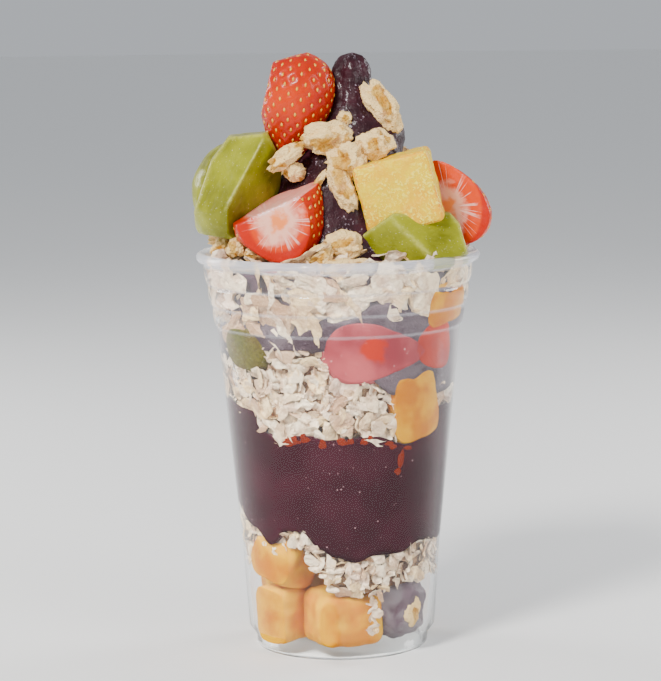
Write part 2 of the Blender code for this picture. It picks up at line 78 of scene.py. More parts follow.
# Layers: (azimuth, height) along each edge where it meets the wall, and its height in the middle
LAYER_SIDES = 180
LOWER_FOOT = [
    (-150, 0.026), (-100, 0.028), (-70, 0.032), (-45, 0.036), (-33, 0.0415), (-21, 0.038), (-10, 0.028),
    (2, 0.0240), (16, 0.0235), (36, 0.0250), (64, 0.027), (100, 0.024), (140, 0.026),
]
LOWER_FOOT_MIDDLE = 0.0250
ACAI_FOOT = [
    (-160, 0.042), (-120, 0.046), (-82, 0.0515), (-57, 0.0449), (-44, 0.0397), (-33, 0.0455),
    (-23, 0.0457), (-12, 0.0397), (-4, 0.0369), (8, 0.0350), (19, 0.0371), (35, 0.0371),
    (50, 0.0402), (73, 0.0387), (105, 0.043), (140, 0.036),
]
ACAI_FOOT_MIDDLE = 0.042
ACAI_TOP = [
    (-160, 0.080), (-120, 0.084), (-77, 0.0890), (-50, 0.0867), (-43, 0.0796), (-32, 0.0768),
    (-20, 0.0794), (-3, 0.0776), (17, 0.0788), (38, 0.0748), (44, 0.0795), (60, 0.0868),
    (90, 0.0880), (125, 0.079), (155, 0.085),
]
ACAI_TOP_MIDDLE = 0.082
MIDDLE_TOP = [
    (-160, 0.104), (-115, 0.100), (-58, 0.1069), (-23, 0.1089), (-9, 0.1092), (3, 0.1030),
    (14, 0.0986), (27, 0.0928), (38, 0.0885), (60, 0.0915), (90, 0.095), (130, 0.106), (165, 0.098),
]
MIDDLE_TOP_MIDDLE = 0.100
UPPER_FOOT = [
    (-160, 0.120), (-110, 0.114), (-70, 0.112), (-40, 0.1135), (-22, 0.113), (-10, 0.116),
    (2, 0.118), (20, 0.1245), (35, 0.120), (50, 0.1285), (80, 0.122), (125, 0.117),
]
UPPER_FOOT_MIDDLE = 0.118
UPPER_TOP = [(-160, 0.133), (-60, 0.1345), (0, 0.1335), (60, 0.134), (120, 0.1345)]
UPPER_TOP_MIDDLE = 0.138

# The soft mound over the rim: height, radius and sideways lean of each level; the last is its tip
MOUND = [
    (0.128, 0.0370, 0.0), (0.138, 0.0315, 0.0005), (0.150, 0.0260, 0.001), (0.161, 0.0225, 0.001),
    (0.171, 0.0188, 0.0040), (0.180, 0.0150, 0.0075), (0.188, 0.0105, 0.006), (0.196, 0.0076, 0.005),
    (0.2020, 0.0062, 0.0055), (0.2056, 0.0042, 0.0057), (0.2068, 0.0, 0.0057),
]
MOUND_RINGS = 150
MOUND_WAVE = 0.0004
MOUND_WAVES = 5

# Fruit: kind, half sizes, middle, direction of its long axis (a berry's runs from crown to tip, a cube has a
# turn about Y and then Z) and knife cuts, each a direction, its depth and whether it lays the flesh open
BERRY_TAPER = 0.42
CUBE_EDGE = 0.0016
OPEN, SHUT = True, False
BERRIES = {
    "strawberry_half": ((0.0153, 0.0150, 0.0172), (-0.0175, -0.022, 0.1518), (0.55, 0.05, 0.83),
                        [((-0.15, -0.98, 0.12), 0.0104, OPEN), ((-0.42, -0.10, 0.90), 0.0064, OPEN),
                         ((-0.55, -0.05, -0.83), 0.0152, OPEN)]),
    "strawberry_right": ((0.0118, 0.0120, 0.0168), (0.0381, -0.007, 0.1552), (-0.42, 0, 0.91),
                         [((-0.30, -0.94, 0.12), 0.0010, OPEN), ((0.42, 0, -0.91), 0.0158, SHUT)]),
    "strawberry_top": ((0.0127, 0.0120, 0.0205), (-0.0143, -0.005, 0.1872), (-0.154, -0.08, -0.98),
                       [((-0.971, 0, 0.239), 0.0110, SHUT), ((-0.268, 0, 0.963), 0.0180, SHUT)]),
    "strawberry_back": ((0.0145, 0.0140, 0.0180), (0.0200, 0.026, 0.151), (0.6, 0.1, 0.75),
                        [((0.15, 0.95, 0.25), 0.0060, OPEN)]),
    "strawberry_back_high": ((0.0115, 0.0110, 0.0160), (0.0040, 0.016, 0.176), (0.35, 0.15, -0.9),
                             [((0.1, 0.7, 0.7), 0.0085, OPEN)]),
}
WALL_BERRIES = {
    "strawberry_wall": ((0.0115, 0.0120, 0.0190), (0.0115, -0.0320, 0.1085), (0.93, 0.28, -0.08),
                        [((0, 0, 1), 0.0100, OPEN)]),
    "strawberry_wall_right": ((0.0100, 0.0100, 0.0125), (0.0290, -0.0200, 0.1075), (0.4, 0.5, -0.7), []),
    "strawberry_wall_back": ((0.0110, 0.0110, 0.0150), (-0.0240, 0.0260, 0.1075), (0.7, 0.6, 0.2), []),
}
KIWIS = {
    "kiwi_right": ((0.014, 0.013, 0.022), (0.025, -0.024, 0.143), (0.94, 0.34, 0.02),
                   [((-0.30, -0.95, -0.04), 0.0072, OPEN), ((0.34, -0.76, 0.56), 0.0070, OPEN),
                    ((-0.575, 0, 0.818), 0.0121, OPEN), ((0.03, 0, 1), 0.0102, OPEN),
                    ((0.966, 0, 0.26), 0.0174, OPEN), ((0.747, 0, 0.664), 0.0163, OPEN),
                    ((-0.778, 0, -0.629), 0.0143, OPEN), ((0, 0, -1), 0.008, OPEN)]),
    "kiwi_left": ((0.0195, 0.0155, 0.0235), (-0.035, -0.009, 0.163), (0.2, 0.05, 1),
                  [((-0.565, -0.638, 0.523), 0.0096, OPEN), ((0.759, -0.607, -0.233), 0.0112, OPEN),
                   ((-0.949, 0, 0.316), 0.0102, OPEN), ((-1, 0, 0), 0.0138, OPEN),
                   ((-0.793, 0, 0.609), 0.0111, OPEN), ((-0.119, 0, 0.993), 0.0158, OPEN),
                   ((0.897, 0, 0.442), 0.0179, OPEN), ((-0.113, 0, -0.994), 0.0184, OPEN)]),
    "kiwi_back": ((0.016, 0.014, 0.017), (-0.0362, 0.017, 0.1595), (0.3, -0.2, 0.9),
                  [((0.2, 0.9, 0.4), 0.0100, OPEN), ((-0.6, 0.5, 0.6), 0.0125, OPEN),
                   ((-1, 0, 0), 0.0152, OPEN), ((0, 0, -1), 0.0110, OPEN)]),
    "kiwi_back_right": ((0.012, 0.011, 0.015), (0.0365, 0.014, 0.149), (0.2, 0.9, 0.3),
                        [((0.8, 0.5, 0.3), 0.0085, OPEN), ((0, 0.3, 0.95), 0.0090, OPEN)]),
}
WALL_KIWIS = {
    "kiwi_wall_left": ((0.009, 0.009, 0.012), (-0.0290, -0.0215, 0.1085), (-0.5, 0.8, 0.1),
                       [((0, 0, 1), 0.0065, OPEN)]),
    "kiwi_wall_back": ((0.009, 0.010, 0.012), (0.0330, 0.0130, 0.1060), (0.2, 0.5, 0.8),
                       [((0, 0, 1), 0.0090, OPEN)]),
}
MANGOES = {
    "mango_cube": ((0.0132, 0.0100, 0.0125), (0.0210, -0.0170, 0.1598), (-13.5, -4), []),
    "mango_back": ((0.0115, 0.0105, 0.0120), (-0.0070, 0.028, 0.1530), (24, 20), []),
}
WALL_MANGOES = {
    "mango_wall_low": ((0.0100, 0.0085, 0.0130), (0.0225, -0.0245, 0.0890), (-14, 42), []),
    "mango_wall_high": ((0.0120, 0.0080, 0.0078), (0.0320, -0.0190, 0.1225), (-12, 60), []),
    "mango_wall_back": ((0.0110, 0.0090, 0.0095), (0.0100, 0.0330, 0.1130), (18, 163), []),
    "mango_base_front": ((0.0118, 0.0110, 0.0094), (0.0000, -0.0200, 0.0136), (0, 24), []),
    "mango_base_left": ((0.0078, 0.0100, 0.0100), (-0.0205, -0.0155, 0.0142), (0, -38), []),
    "mango_base_upper": ((0.0100, 0.0095, 0.0085), (-0.0195, -0.0165, 0.0335), (22, -40), []),
    "mango_base_back_left": ((0.0105, 0.0100, 0.0100), (-0.0160, 0.0130, 0.0145), (-6, 40), []),
    "mango_base_back_right": ((0.0115, 0.0095, 0.0095), (0.0100, 0.0170, 0.0145), (8, -30), []),
}

# The smear of acai on the wall at the foot, as half sizes and middle
SMEAR = ((0.0110, 0.0085, 0.0115), (0.0180, -0.0160, 0.0165))

# Coated cereal: half sizes, middle and turn about the front-to-back line in degrees
CEREAL = {
    "cereal_big": ((0.0081, 0.0050, 0.0056), (-0.0036, -0.0180, 0.1786), -8),
    "cereal_white": ((0.0064, 0.0058, 0.0062), (0.0030, -0.0195, 0.1700), 0),
    "cereal_peak": ((0.0048, 0.0040, 0.0090), (0.0151, -0.0080, 0.1885), -35),
    "cereal_cluster": ((0.0062, 0.0045, 0.0050), (0.0128, -0.0170, 0.1763), -20),
    "cereal_long": ((0.0068, 0.0030, 0.0028), (-0.0176, -0.0185, 0.1721), -36),
    "cereal_almond": ((0.0037, 0.0036, 0.0075), (0.0016, -0.0235, 0.1612), -24),
    "cereal_rim_middle": ((0.0060, 0.0048, 0.0046), (0.0019, -0.0330, 0.1434), 0),
    "cereal_rim_left": ((0.0060, 0.0030, 0.0036), (-0.0070, -0.0375, 0.1390), -42),
    "cereal_rim_front": ((0.0085, 0.0036, 0.0030), (0.0040, -0.0400, 0.1365), 0),
    "cereal_rim_side": ((0.0040, 0.0050, 0.0046), (-0.0395, -0.0120, 0.1395), 20),
    "mango_dried": ((0.0050, 0.0045, 0.0035), (-0.0395, -0.0060, 0.1440), 0),
    "cereal_back_high": ((0.0070, 0.0045, 0.0050), (0.0120, 0.0150, 0.1900), 30),
    "cereal_back_middle": ((0.0075, 0.0050, 0.0050), (-0.0130, 0.0190, 0.1710), -15),
    "cereal_back_left": ((0.0060, 0.0045, 0.0050), (-0.0210, 0.0260, 0.1600), 25),
    "cereal_back_right": ((0.0060, 0.0045, 0.0045), (0.0200, 0.0170, 0.1680), -30),
    "cereal_back_rim": ((0.0080, 0.0050, 0.0045), (0.0080, 0.0390, 0.1410), 10),
}

# Bits too small for the solids: cereal as above, and runs of juice as (azimuth, height, half length)
SMALL_CEREAL = [
    ((0.0039, 0.0028, 0.0032), (-0.0148, -0.0170, 0.1670), 10),
    ((0.0029, 0.0026, 0.0035), (0.0047, -0.0205, 0.1522), 0),
    ((0.0012, 0.0012, 0.0042), (-0.0060, -0.0225, 0.1644), 38),
    ((0.0023, 0.0020, 0.0031), (0.0029, -0.0120, 0.1842), -15),
    ((0.0030, 0.0026, 0.0050), (0.0243, -0.0208, 0.0150), 12),
    ((0.0032, 0.0022, 0.0030), (-0.0345, -0.0215, 0.1420), 30),
    ((0.0030, 0.0024, 0.0022), (-0.0290, -0.0270, 0.1405), -20),
]
JUICE_RUNS = [(33, 0.0705, 0.0032), (31.5, 0.0660, 0.0014), (-9, 0.0765, 0.0018), (12, 0.0772, 0.0014),
              (-24, 0.0775, 0.0016)]

# Flakes that slid down the wall under the lower layer
FALLEN_FLAKES = 11
FALLEN_AZIMUTH = 21
FALLEN_TOP = 0.0235
FALLEN_FOOT = 0.0080

# The camera: where it stands, how far it looks down, its roll and its lens in millimetres
CAMERA_PLACE = (-0.00292, -0.9266, 0.2280)
CAMERA_DOWN = 0.130
CAMERA_ROLL = -0.0119
CAMERA_LENS = 141.6


# ---------------------------------------------------------------- settings

def length_setting(name, description, default):
    return FloatProperty(name=name, description=description, default=default, min=0.0, precision=5, unit="LENGTH")


def colour_setting(name, description, default):
    return FloatVectorProperty(name=name, description=description, default=default, size=3, min=0.0, max=1.0,
                               subtype="COLOR")


class AcaiCupSizes(bpy.types.PropertyGroup):
    """Sizes that a maker would change."""
    contact: length_setting("Contact", "How far food that touches the cup reaches into its wall", 0.00015)
    core_depth: length_setting("Core depth", "How far the core of a flake layer stays behind the wall", 0.0026)
    flake: length_setting("Flake", "Length of an oat flake", 0.0072)
    big_flake: length_setting("Big flake", "Length of a flake under the rim", 0.0145)
    flake_thickness: length_setting("Flake thickness", "Thickness of a flake in its middle", 0.0005)
    seed_spacing: length_setting("Seed spacing", "Distance between the seeds on a berry's skin", 0.0033)
    seed_length: length_setting("Seed length", "Length of a berry's seed", 0.0018)
    dimple: length_setting("Dimple", "Depth of the dimple round a seed", 0.00042)
    fine_grain: length_setting("Fine grain", "Face size on the front berries and kiwis", 0.00042)
    coarse_grain: length_setting("Coarse grain", "Face size on the other fruit", 0.0007)


class AcaiCupColours(bpy.types.PropertyGroup):
    """Colours of the foods and the stage."""
    acai: colour_setting("Acai", "Acai pressed against the wall", (0.036, 0.0062, 0.0125))
    acai_peak: colour_setting("Acai peak", "Acai in the open", (0.024, 0.0045, 0.0085))
    smear: colour_setting("Smear", "Thin acai smeared on the wall", (0.085, 0.048, 0.068))
    flake: colour_setting("Flake", "Oat flakes", (0.97, 0.79, 0.55))
    # Flake shade is toasted colour, and partly painted shade for the depth between flakes
    flake_shade: colour_setting("Flake shade", "Toasted edges and the depth between flakes", (0.42, 0.19, 0.06))
    coat: colour_setting("Coat", "Sugar coat of the cereal", (0.90, 0.64, 0.28))
    # Grain is bare cereal, and also serves as painted shade in the dents
    grain: colour_setting("Grain", "Cereal where the coat is thin", (0.50, 0.22, 0.010))
    skin: colour_setting("Berry skin", "Skin of the strawberries", (0.47, 0.012, 0.0))
    flesh: colour_setting("Berry flesh", "Outer flesh of the strawberries", (0.66, 0.048, 0.002))
    core: colour_setting("Berry core", "Pale ring round a strawberry's core", (0.90, 0.44, 0.32))
    seed: colour_setting("Seed", "Seeds of the strawberries", (0.85, 0.40, 0.03))
    kiwi: colour_setting("Kiwi", "Flesh of the kiwi", (0.185, 0.190, 0.001))
    mango: colour_setting("Mango", "Bright flesh of the mango", (0.80, 0.55, 0.0))
    mango_deep: colour_setting("Mango deep", "Riper flesh of the mango", (0.84, 0.27, 0.001))
    floor: colour_setting("Floor", "The pale floor", (0.93, 0.93, 0.92))


# ---------------------------------------------------------------- finishes

class Finish:
    """A material being made: its shader, and short calls for the nodes that the finishes share."""

    def __init__(self, name):
        self.material = bpy.data.materials.new(name)
        self.material.use_nodes = True
        self.tree = self.material.node_tree
        self.shader = self.tree.nodes["Principled BSDF"]
        self.place = self.add("ShaderNodeTexCoord").outputs["Object"]

    def add(self, kind, **settings):
        node = self.tree.nodes.new(kind)
        for key, value in settings.items():
            setattr(node, key, value)
        return node

    def put(self, value, socket):
        """Link a socket to another node's output, or set it to a plain value."""
        if isinstance(value, bpy.types.NodeSocket):
            self.tree.links.new(value, socket)
        else:
            socket.default_value = (*value, 1.0) if socket.type == "RGBA" and len(value) == 3 else value

    def shade(self, sockets):
        for name, value in sockets.items():
            self.put(value, self.shader.inputs[name])

    def local(self, middle, turn, half_sizes):
        """Coordinates in which a piece is a ball of radius 1 about its own middle."""
        mapping = self.add("ShaderNodeMapping", vector_type="TEXTURE")
        self.put(self.place, mapping.inputs["Vector"])
        mapping.inputs["Location"].default_value = middle
        mapping.inputs["Rotation"].default_value = turn.to_euler()
        mapping.inputs["Scale"].default_value = half_sizes
        return mapping.outputs["Vector"]

    def noise(self, scale, detail=2.0, vector=None, distortion=0.0):
        node = self.add("ShaderNodeTexNoise")
        self.put(vector or self.place, node.inputs["Vector"])
        node.inputs["Scale"].default_value = scale
        node.inputs["Detail"].default_value = detail
        node.inputs["Distortion"].default_value = distortion
        return node.outputs["Fac"]

    def cells(self, scale, output="Distance", vector=None):
        node = self.add("ShaderNodeTexVoronoi")
        self.put(vector or self.place, node.inputs["Vector"])
        node.inputs["Scale"].default_value = scale
        return node.outputs[output]

    def attribute(self, name):
        return self.add("ShaderNodeAttribute", attribute_name=name).outputs["Fac"]

    def spread(self, value, low, high, bottom=0.0, top=1.0):
        """Ease a value from one range to another."""
        node = self.add("ShaderNodeMapRange", interpolation_type="SMOOTHSTEP")
        for number, entry in enumerate((value, low, high, bottom, top)):
            self.put(entry, node.inputs[number])
        return node.outputs[0]

    def sum(self, operation, first, second):
        node = self.add("ShaderNodeMath", operation=operation)
        self.put(first, node.inputs[0])
        self.put(second, node.inputs[1])
        return node.outputs[0]

    def vector(self, operation, first, output="Vector", second=(0, 0, 0)):
        node = self.add("ShaderNodeVectorMath", operation=operation)
        self.put(first, node.inputs[0])
        self.put(second, node.inputs[1])
        return node.outputs[output]

    def mix(self, share, first, second):
        node = self.add("ShaderNodeMix", data_type="RGBA")
        self.put(share, node.inputs[0])
        self.put(first, node.inputs[6])
        self.put(second, node.inputs[7])
        return node.outputs[2]

    def bump(self, height, distance, under=None):
        """A relief of this height in metres, laid over another where one is given."""
        node = self.add("ShaderNodeBump")
        self.put(height, node.inputs["Height"])
        node.inputs["Distance"].default_value = distance
        if under is not None:
            self.put(under, node.inputs["Normal"])
        return node.outputs["Normal"]


def lighter(colour, share):
    return tuple(part + (1 - part) * share for part in colour)


def darker(colour, share):
    return tuple(part * (1 - share) for part in colour)


def plastic_finish():
    """Clear moulded plastic with a faint milky haze; light reaches the food through it."""
    finish = Finish("clear_plastic")
    height = finish.add("ShaderNodeSeparateXYZ")
    finish.put(finish.place, height.inputs[0])
    height = height.outputs["Z"]
    haze = finish.spread(height, BEADS[0][0][1] - 0.001, BEADS[0][0][1] + 0.001, 0.0, 0.02)
    for level in [BEADS[0][0][1]] + [top for _, (_, top) in BEADS]:
        gap = finish.sum("ABSOLUTE", finish.sum("SUBTRACT", height, level), 0.0)
        haze = finish.sum("ADD", haze, finish.spread(gap, 0.0001, 0.0009, 0.20, 0.0))
    haze = finish.sum("ADD", haze, finish.spread(height, BEADS[2][1][1] - 0.0006, RIM_HEIGHT, 0.0, 0.30))
    finish.shade({"Base Color": (0.98, 0.985, 0.985), "Roughness": 0.04, "IOR": 1.32, "Transmission Weight": 1.0})
    milky = finish.add("ShaderNodeBsdfDiffuse")
    finish.put(finish.mix(finish.noise(60, 2.0), (0.80, 0.80, 0.90), (0.86, 0.87, 0.90)), milky.inputs["Color"])
    hazy = finish.add("ShaderNodeMixShader")
    finish.put(haze, hazy.inputs[0])
    finish.put(finish.shader.outputs[0], hazy.inputs[1])
    finish.put(milky.outputs[0], hazy.inputs[2])
    clear = finish.add("ShaderNodeBsdfTransparent")
    clear.inputs["Color"].default_value = (0.96, 0.97, 0.97, 1.0)
    shadow = finish.add("ShaderNodeLightPath").outputs["Is Shadow Ray"]
    whole = finish.add("ShaderNodeMixShader")
    finish.put(shadow, whole.inputs[0])
    finish.put(hazy.outputs[0], whole.inputs[1])
    finish.put(clear.outputs[0], whole.inputs[2])
    finish.put(whole.outputs[0], finish.tree.nodes["Material Output"].inputs["Surface"])
    return finish.material


def acai_finish(colours):
    """Acai pressed flat against the wall: matte violet-brown with sparse pale specks."""
    finish = Finish("acai_on_wall")
    cloud = finish.spread(finish.noise(60, 3.0), 0.35, 0.7)
    tone = finish.mix(cloud, darker(colours.acai, 0.15), darker(colours.acai, -0.35))
    specks = finish.spread(finish.cells(380), 0.07, 0.15, 1.0, 0.0)
    rare = finish.spread(finish.noise(260, 1.0), 0.46, 0.60)
    tone = finish.mix(finish.sum("MULTIPLY", specks, rare), tone, (0.36, 0.20, 0.22))
    finish.shade({"Base Color": tone, "Roughness": 0.6, "Specular IOR Level": 0.0,
                  "Normal": finish.bump(finish.noise(230, 4.0), 0.00008)})
    return finish.material


def smear_finish(colours, name, cover):
    """Acai spread thin over flakes: grey-lilac, clouded with brown-violet where it is thicker."""
    finish = Finish(name)
    cloud = finish.spread(finish.noise(95, 4.0, distortion=0.6), 0.38, 0.62)
    tone = finish.mix(cloud, colours.smear, lighter(colours.smear, 0.11))
    thick = finish.spread(finish.noise(60, 3.0, distortion=0.4), 0.62 - cover, 0.86 - cover)
    tone = finish.mix(thick, tone, lighter(colours.acai, 0.02))
    finish.shade({"Base Color": tone, "Roughness": 0.6, "Specular IOR Level": 0.0,
                  "Normal": finish.bump(finish.noise(300, 4.0), 0.0002)})
    return finish.material


def peak_finish(colours):
    """Acai in the open: very dark, wet, with a fine frozen grain and painted pale glints."""
    finish = Finish("acai_open")
    cloud = finish.spread(finish.noise(140, 3.0), 0.35, 0.7)
    tone = finish.mix(cloud, darker(colours.acai_peak, 0.2), darker(colours.acai_peak, -0.6))
    away = finish.sum("MULTIPLY", finish.vector("LENGTH", finish.vector("MULTIPLY", finish.place, second=(1, 1, 0)),
                                                "Value"), 1.0)
    cloud = finish.spread(finish.noise(95, 4.0, distortion=0.6), 0.35, 0.62)
    thin = finish.mix(cloud, darker(colours.smear, 0.35), lighter(colours.smear, 0.06))
    tone = finish.mix(finish.spread(away, 0.0385, 0.0400), tone, thin)
    # Painted highlight: fine pale lilac glints mixed into the colour
    painted_glints = finish.sum("MULTIPLY", finish.spread(finish.noise(1300, 2.0), 0.60, 0.68),
                        finish.spread(finish.noise(230, 2.0), 0.48, 0.62, 0.0, 0.55))
    tone = finish.mix(painted_glints, tone, (0.46, 0.38, 0.46))
    grain = finish.sum("ADD", finish.noise(520, 3.0), finish.sum("MULTIPLY", finish.noise(1500, 2.0), 0.5))
    finish.shade({"Base Color": tone, "Roughness": finish.spread(finish.noise(300, 2.0), 0.3, 0.7, 0.36, 0.55),
                  "Specular IOR Level": 0.16, "Coat Weight": 0.12, "Coat Roughness": 0.10,
                  "Normal": finish.bump(grain, 0.00035)})
    return finish.material


def flake_finish(colours, name, shade):
    """Dry oat flakes: each its own tint, brown in random patches and on some whole flakes, partly toasting and partly
    painted shade between flakes, with a fine bran grain; as flake_core, painted dark brown shade.
    """
    finish = Finish(name)
    tint = finish.attribute("tint")
    tone = finish.mix(finish.spread(tint, 0.55, 1.0, 0.0, 0.75), lighter(colours.flake, 0.12),
                      (0.88, 0.62, 0.26))
    rosy = finish.spread(finish.noise(90, 2.0), 0.5, 0.7, 0.0, 0.35)
    tone = finish.mix(rosy, tone, (0.80, 0.52, 0.46))
    # Brown patches and darker whole flakes: partly toasting, partly painted shade for the depth between flakes
    tone = finish.mix(finish.spread(finish.noise(380, 4.0), 0.50, 0.74, 0.0, shade), tone, colours.flake_shade)
    tone = finish.mix(finish.spread(tint, 0.03, 0.12, 0.7, 0.0), tone, colours.flake_shade)
    tone = finish.mix(finish.spread(finish.noise(230, 4.0), 0.46, 0.62, 0.0, 0.55), tone, (0.46, 0.27, 0.16))
    # Painted shade: the core behind the flakes is dark brown so the gaps between flakes read as shadow
    if name == "flake_core":
        tone = finish.mix(finish.spread(finish.noise(300, 4.0), 0.4, 0.6), (0.10, 0.042, 0.022), (0.34, 0.20, 0.10))
    bran = finish.sum("ADD", finish.noise(1100, 3.0), finish.cells(900))
    finish.shade({"Base Color": tone, "Roughness": 0.72, "Specular IOR Level": 0.2,
                  "Normal": finish.bump(bran, 0.00030)})
    return finish.material


def cereal_finish(colours):
    """Crumpled cereal: a rough pale coat on the ridges, golden grain in the hollows, darker there partly as painted
    shade, dark specks.
    """
    finish = Finish("coated_cereal")
    hollow = finish.attribute("hollow")
    # The dents take the darker grain colour: partly bare grain, partly painted shade in the hollows
    patch = finish.sum("ADD", hollow, finish.spread(finish.noise(190, 4.0), 0.3, 0.75, -0.30, 0.62))
    grain = finish.mix(finish.spread(finish.noise(330, 3.0), 0.35, 0.65), colours.grain, (0.72, 0.44, 0.10))
    tone = finish.mix(finish.spread(patch, 0.30, 0.62), colours.coat, grain)
    rosy = finish.spread(finish.noise(170, 2.0), 0.55, 0.75, 0.0, 0.45)
    tone = finish.mix(rosy, tone, (0.66, 0.36, 0.22))
    specks = finish.sum("MULTIPLY", finish.spread(finish.cells(700), 0.12, 0.20, 1.0, 0.0),
                        finish.spread(finish.noise(420, 1.0), 0.56, 0.64))
    tone = finish.mix(specks, tone, (0.25, 0.12, 0.06))
    crust = finish.sum("ADD", finish.noise(900, 4.0), finish.cells(1500))
    finish.shade({"Base Color": tone, "Roughness": 0.75, "Specular IOR Level": 0.25,
                  "Normal": finish.bump(crust, 0.00040)})
    return finish.material


def face_frame(recipe):
    """Where the pattern of a cut berry is centred, and its turn: Z out of the main cut, X along the berry."""
    _, middle, pose, cuts = recipe
    normal = Vector(cuts[0][0]).normalized() if cuts else Vector((0, -1, 0))
    along = Vector(pose)
    along = (along - normal * along.dot(normal)).normalized()
    turn = Matrix((along, normal.cross(along), normal)).transposed()
    return Vector(middle) + normal * (cuts[0][1] if cuts else 0.0), turn


def berry_finish(colours, name, recipe):
    """Strawberry: glossy skin, and where it is cut a core, a pale ring and vessels that run to the skin, with a painted
    highlight on the upper cut facet and a painted wet sheen along the knife ridges.
    """
    finish = Finish(name)
    half_sizes, middle, pose, _ = recipe
    depth = finish.vector("LENGTH", finish.local(middle, pose_matrix(pose), half_sizes), "Value")
    centre, turn = face_frame(recipe)
    centre = centre + turn @ Vector((-0.10 * half_sizes[2], 0, 0))
    face = finish.local(centre, turn, (half_sizes[2] * 0.95, half_sizes[0] * 0.85, 1.0))
    face = finish.vector("MULTIPLY", face, second=(1, 1, 0))
    near = finish.sum("ADD", finish.vector("LENGTH", face, "Value"),
                      finish.spread(finish.noise(300, 3.0), 0.3, 0.7, -0.10, 0.10))
    rays = finish.noise(3.4, 1.0, finish.vector("NORMALIZE", face))
    vessel = finish.spread(finish.sum("ABSOLUTE", finish.sum("SUBTRACT", rays, 0.5), 0.0), 0.004, 0.030, 1.0, 0.0)
    vessel = finish.sum("MULTIPLY", vessel, finish.spread(near, 0.34, 0.52))
    vessel = finish.sum("MULTIPLY", vessel, finish.spread(near, 0.80, 1.05, 0.50, 0.0))
    flesh = finish.mix(finish.spread(near, 0.10, 0.28), (0.88, 0.24, 0.06), colours.core)
    flesh = finish.mix(finish.spread(near, 0.34, 0.68), flesh, colours.flesh)
    flesh = finish.mix(vessel, flesh, lighter(colours.core, 0.45))
    # Painted highlight: the upper cut facet is mixed towards pale pink, as if lit from above
    flesh = finish.mix(finish.sum("MULTIPLY", finish.attribute("pale"), finish.spread(depth, 0.80, 0.97, 0.75, 0.0)),
                       flesh, (0.78, 0.36, 0.29))
    # Painted highlight: a pale wet sheen along the knife ridges
    wet_sheen = finish.sum("MULTIPLY", finish.attribute("edge"), finish.spread(finish.noise(900, 2.0), 0.44, 0.60, 0.0, 0.7))
    flesh = finish.mix(wet_sheen, flesh, (0.93, 0.70, 0.68))
    flesh = finish.mix(finish.spread(depth, 0.93, 1.02), flesh, colours.skin)
    skin = finish.mix(finish.spread(finish.noise(70, 3.0), 0.35, 0.75), darker(colours.skin, 0.15),
                      (0.58, 0.036, 0.0))
    cut = finish.attribute("cut")
    fibres = finish.sum("ADD", finish.noise(700, 3.0), finish.sum("MULTIPLY", vessel, 0.6))
    finish.shade({"Base Color": finish.mix(cut, skin, flesh), "Subsurface Weight": 0.15,
                  "Roughness": finish.spread(cut, 0.0, 1.0, 0.30, 0.38),
                  "Subsurface Radius": (1.0, 0.25, 0.12), "Subsurface Scale": 0.0015,
                  "Specular IOR Level": 0.15, "Coat Weight": 0.13, "Coat Roughness": 0.06,
                  "Normal": finish.bump(fibres, 0.00014)})
    return finish.material


def pressed_berry_finish(colours, name, spot):
    """Strawberry behind a film of acai on the wall: mauve-pink, clear and red in one round spot, with painted pale
    glints.
    """
    finish = Finish(name)
    cloud = finish.spread(finish.noise(70, 3.0), 0.35, 0.65)
    tone = finish.mix(cloud, (0.30, 0.038, 0.052), (0.52, 0.105, 0.115))
    away = finish.vector("LENGTH", finish.local(spot, Matrix.Identity(3), (0.0052, 0.02, 0.0052)), "Value")
    away = finish.sum("ADD", away, finish.spread(finish.noise(240, 2.0), 0.3, 0.7, -0.16, 0.16))
    tone = finish.mix(finish.spread(away, 0.70, 1.05, 1.0, 0.0), tone, (0.52, 0.028, 0.010))
    # Painted highlight: pale pink glints mixed into the colour
    painted_glint = finish.spread(finish.noise(420, 2.0), 0.68, 0.74, 0.0, 0.5)
    tone = finish.mix(painted_glint, tone, (0.90, 0.62, 0.58))
    finish.shade({"Base Color": tone, "Roughness": 0.5, "Specular IOR Level": 0.0, "Subsurface Weight": 0.1,
                  "Subsurface Radius": (1.0, 0.3, 0.3), "Subsurface Scale": 0.0015,
                  "Normal": finish.bump(finish.noise(260, 3.0), 0.0002)})
    return finish.material


def seed_finish(colours):
    finish = Finish("strawberry_seed")
    tone = finish.mix(finish.noise(400, 2.0), colours.seed, darker(colours.seed, 0.4))
    finish.shade({"Base Color": tone, "Roughness": 0.35, "Coat Weight": 0.3, "Coat Roughness": 0.2,
                  "Normal": finish.bump(finish.noise(2500, 1.0), 0.00004)})
    return finish.material


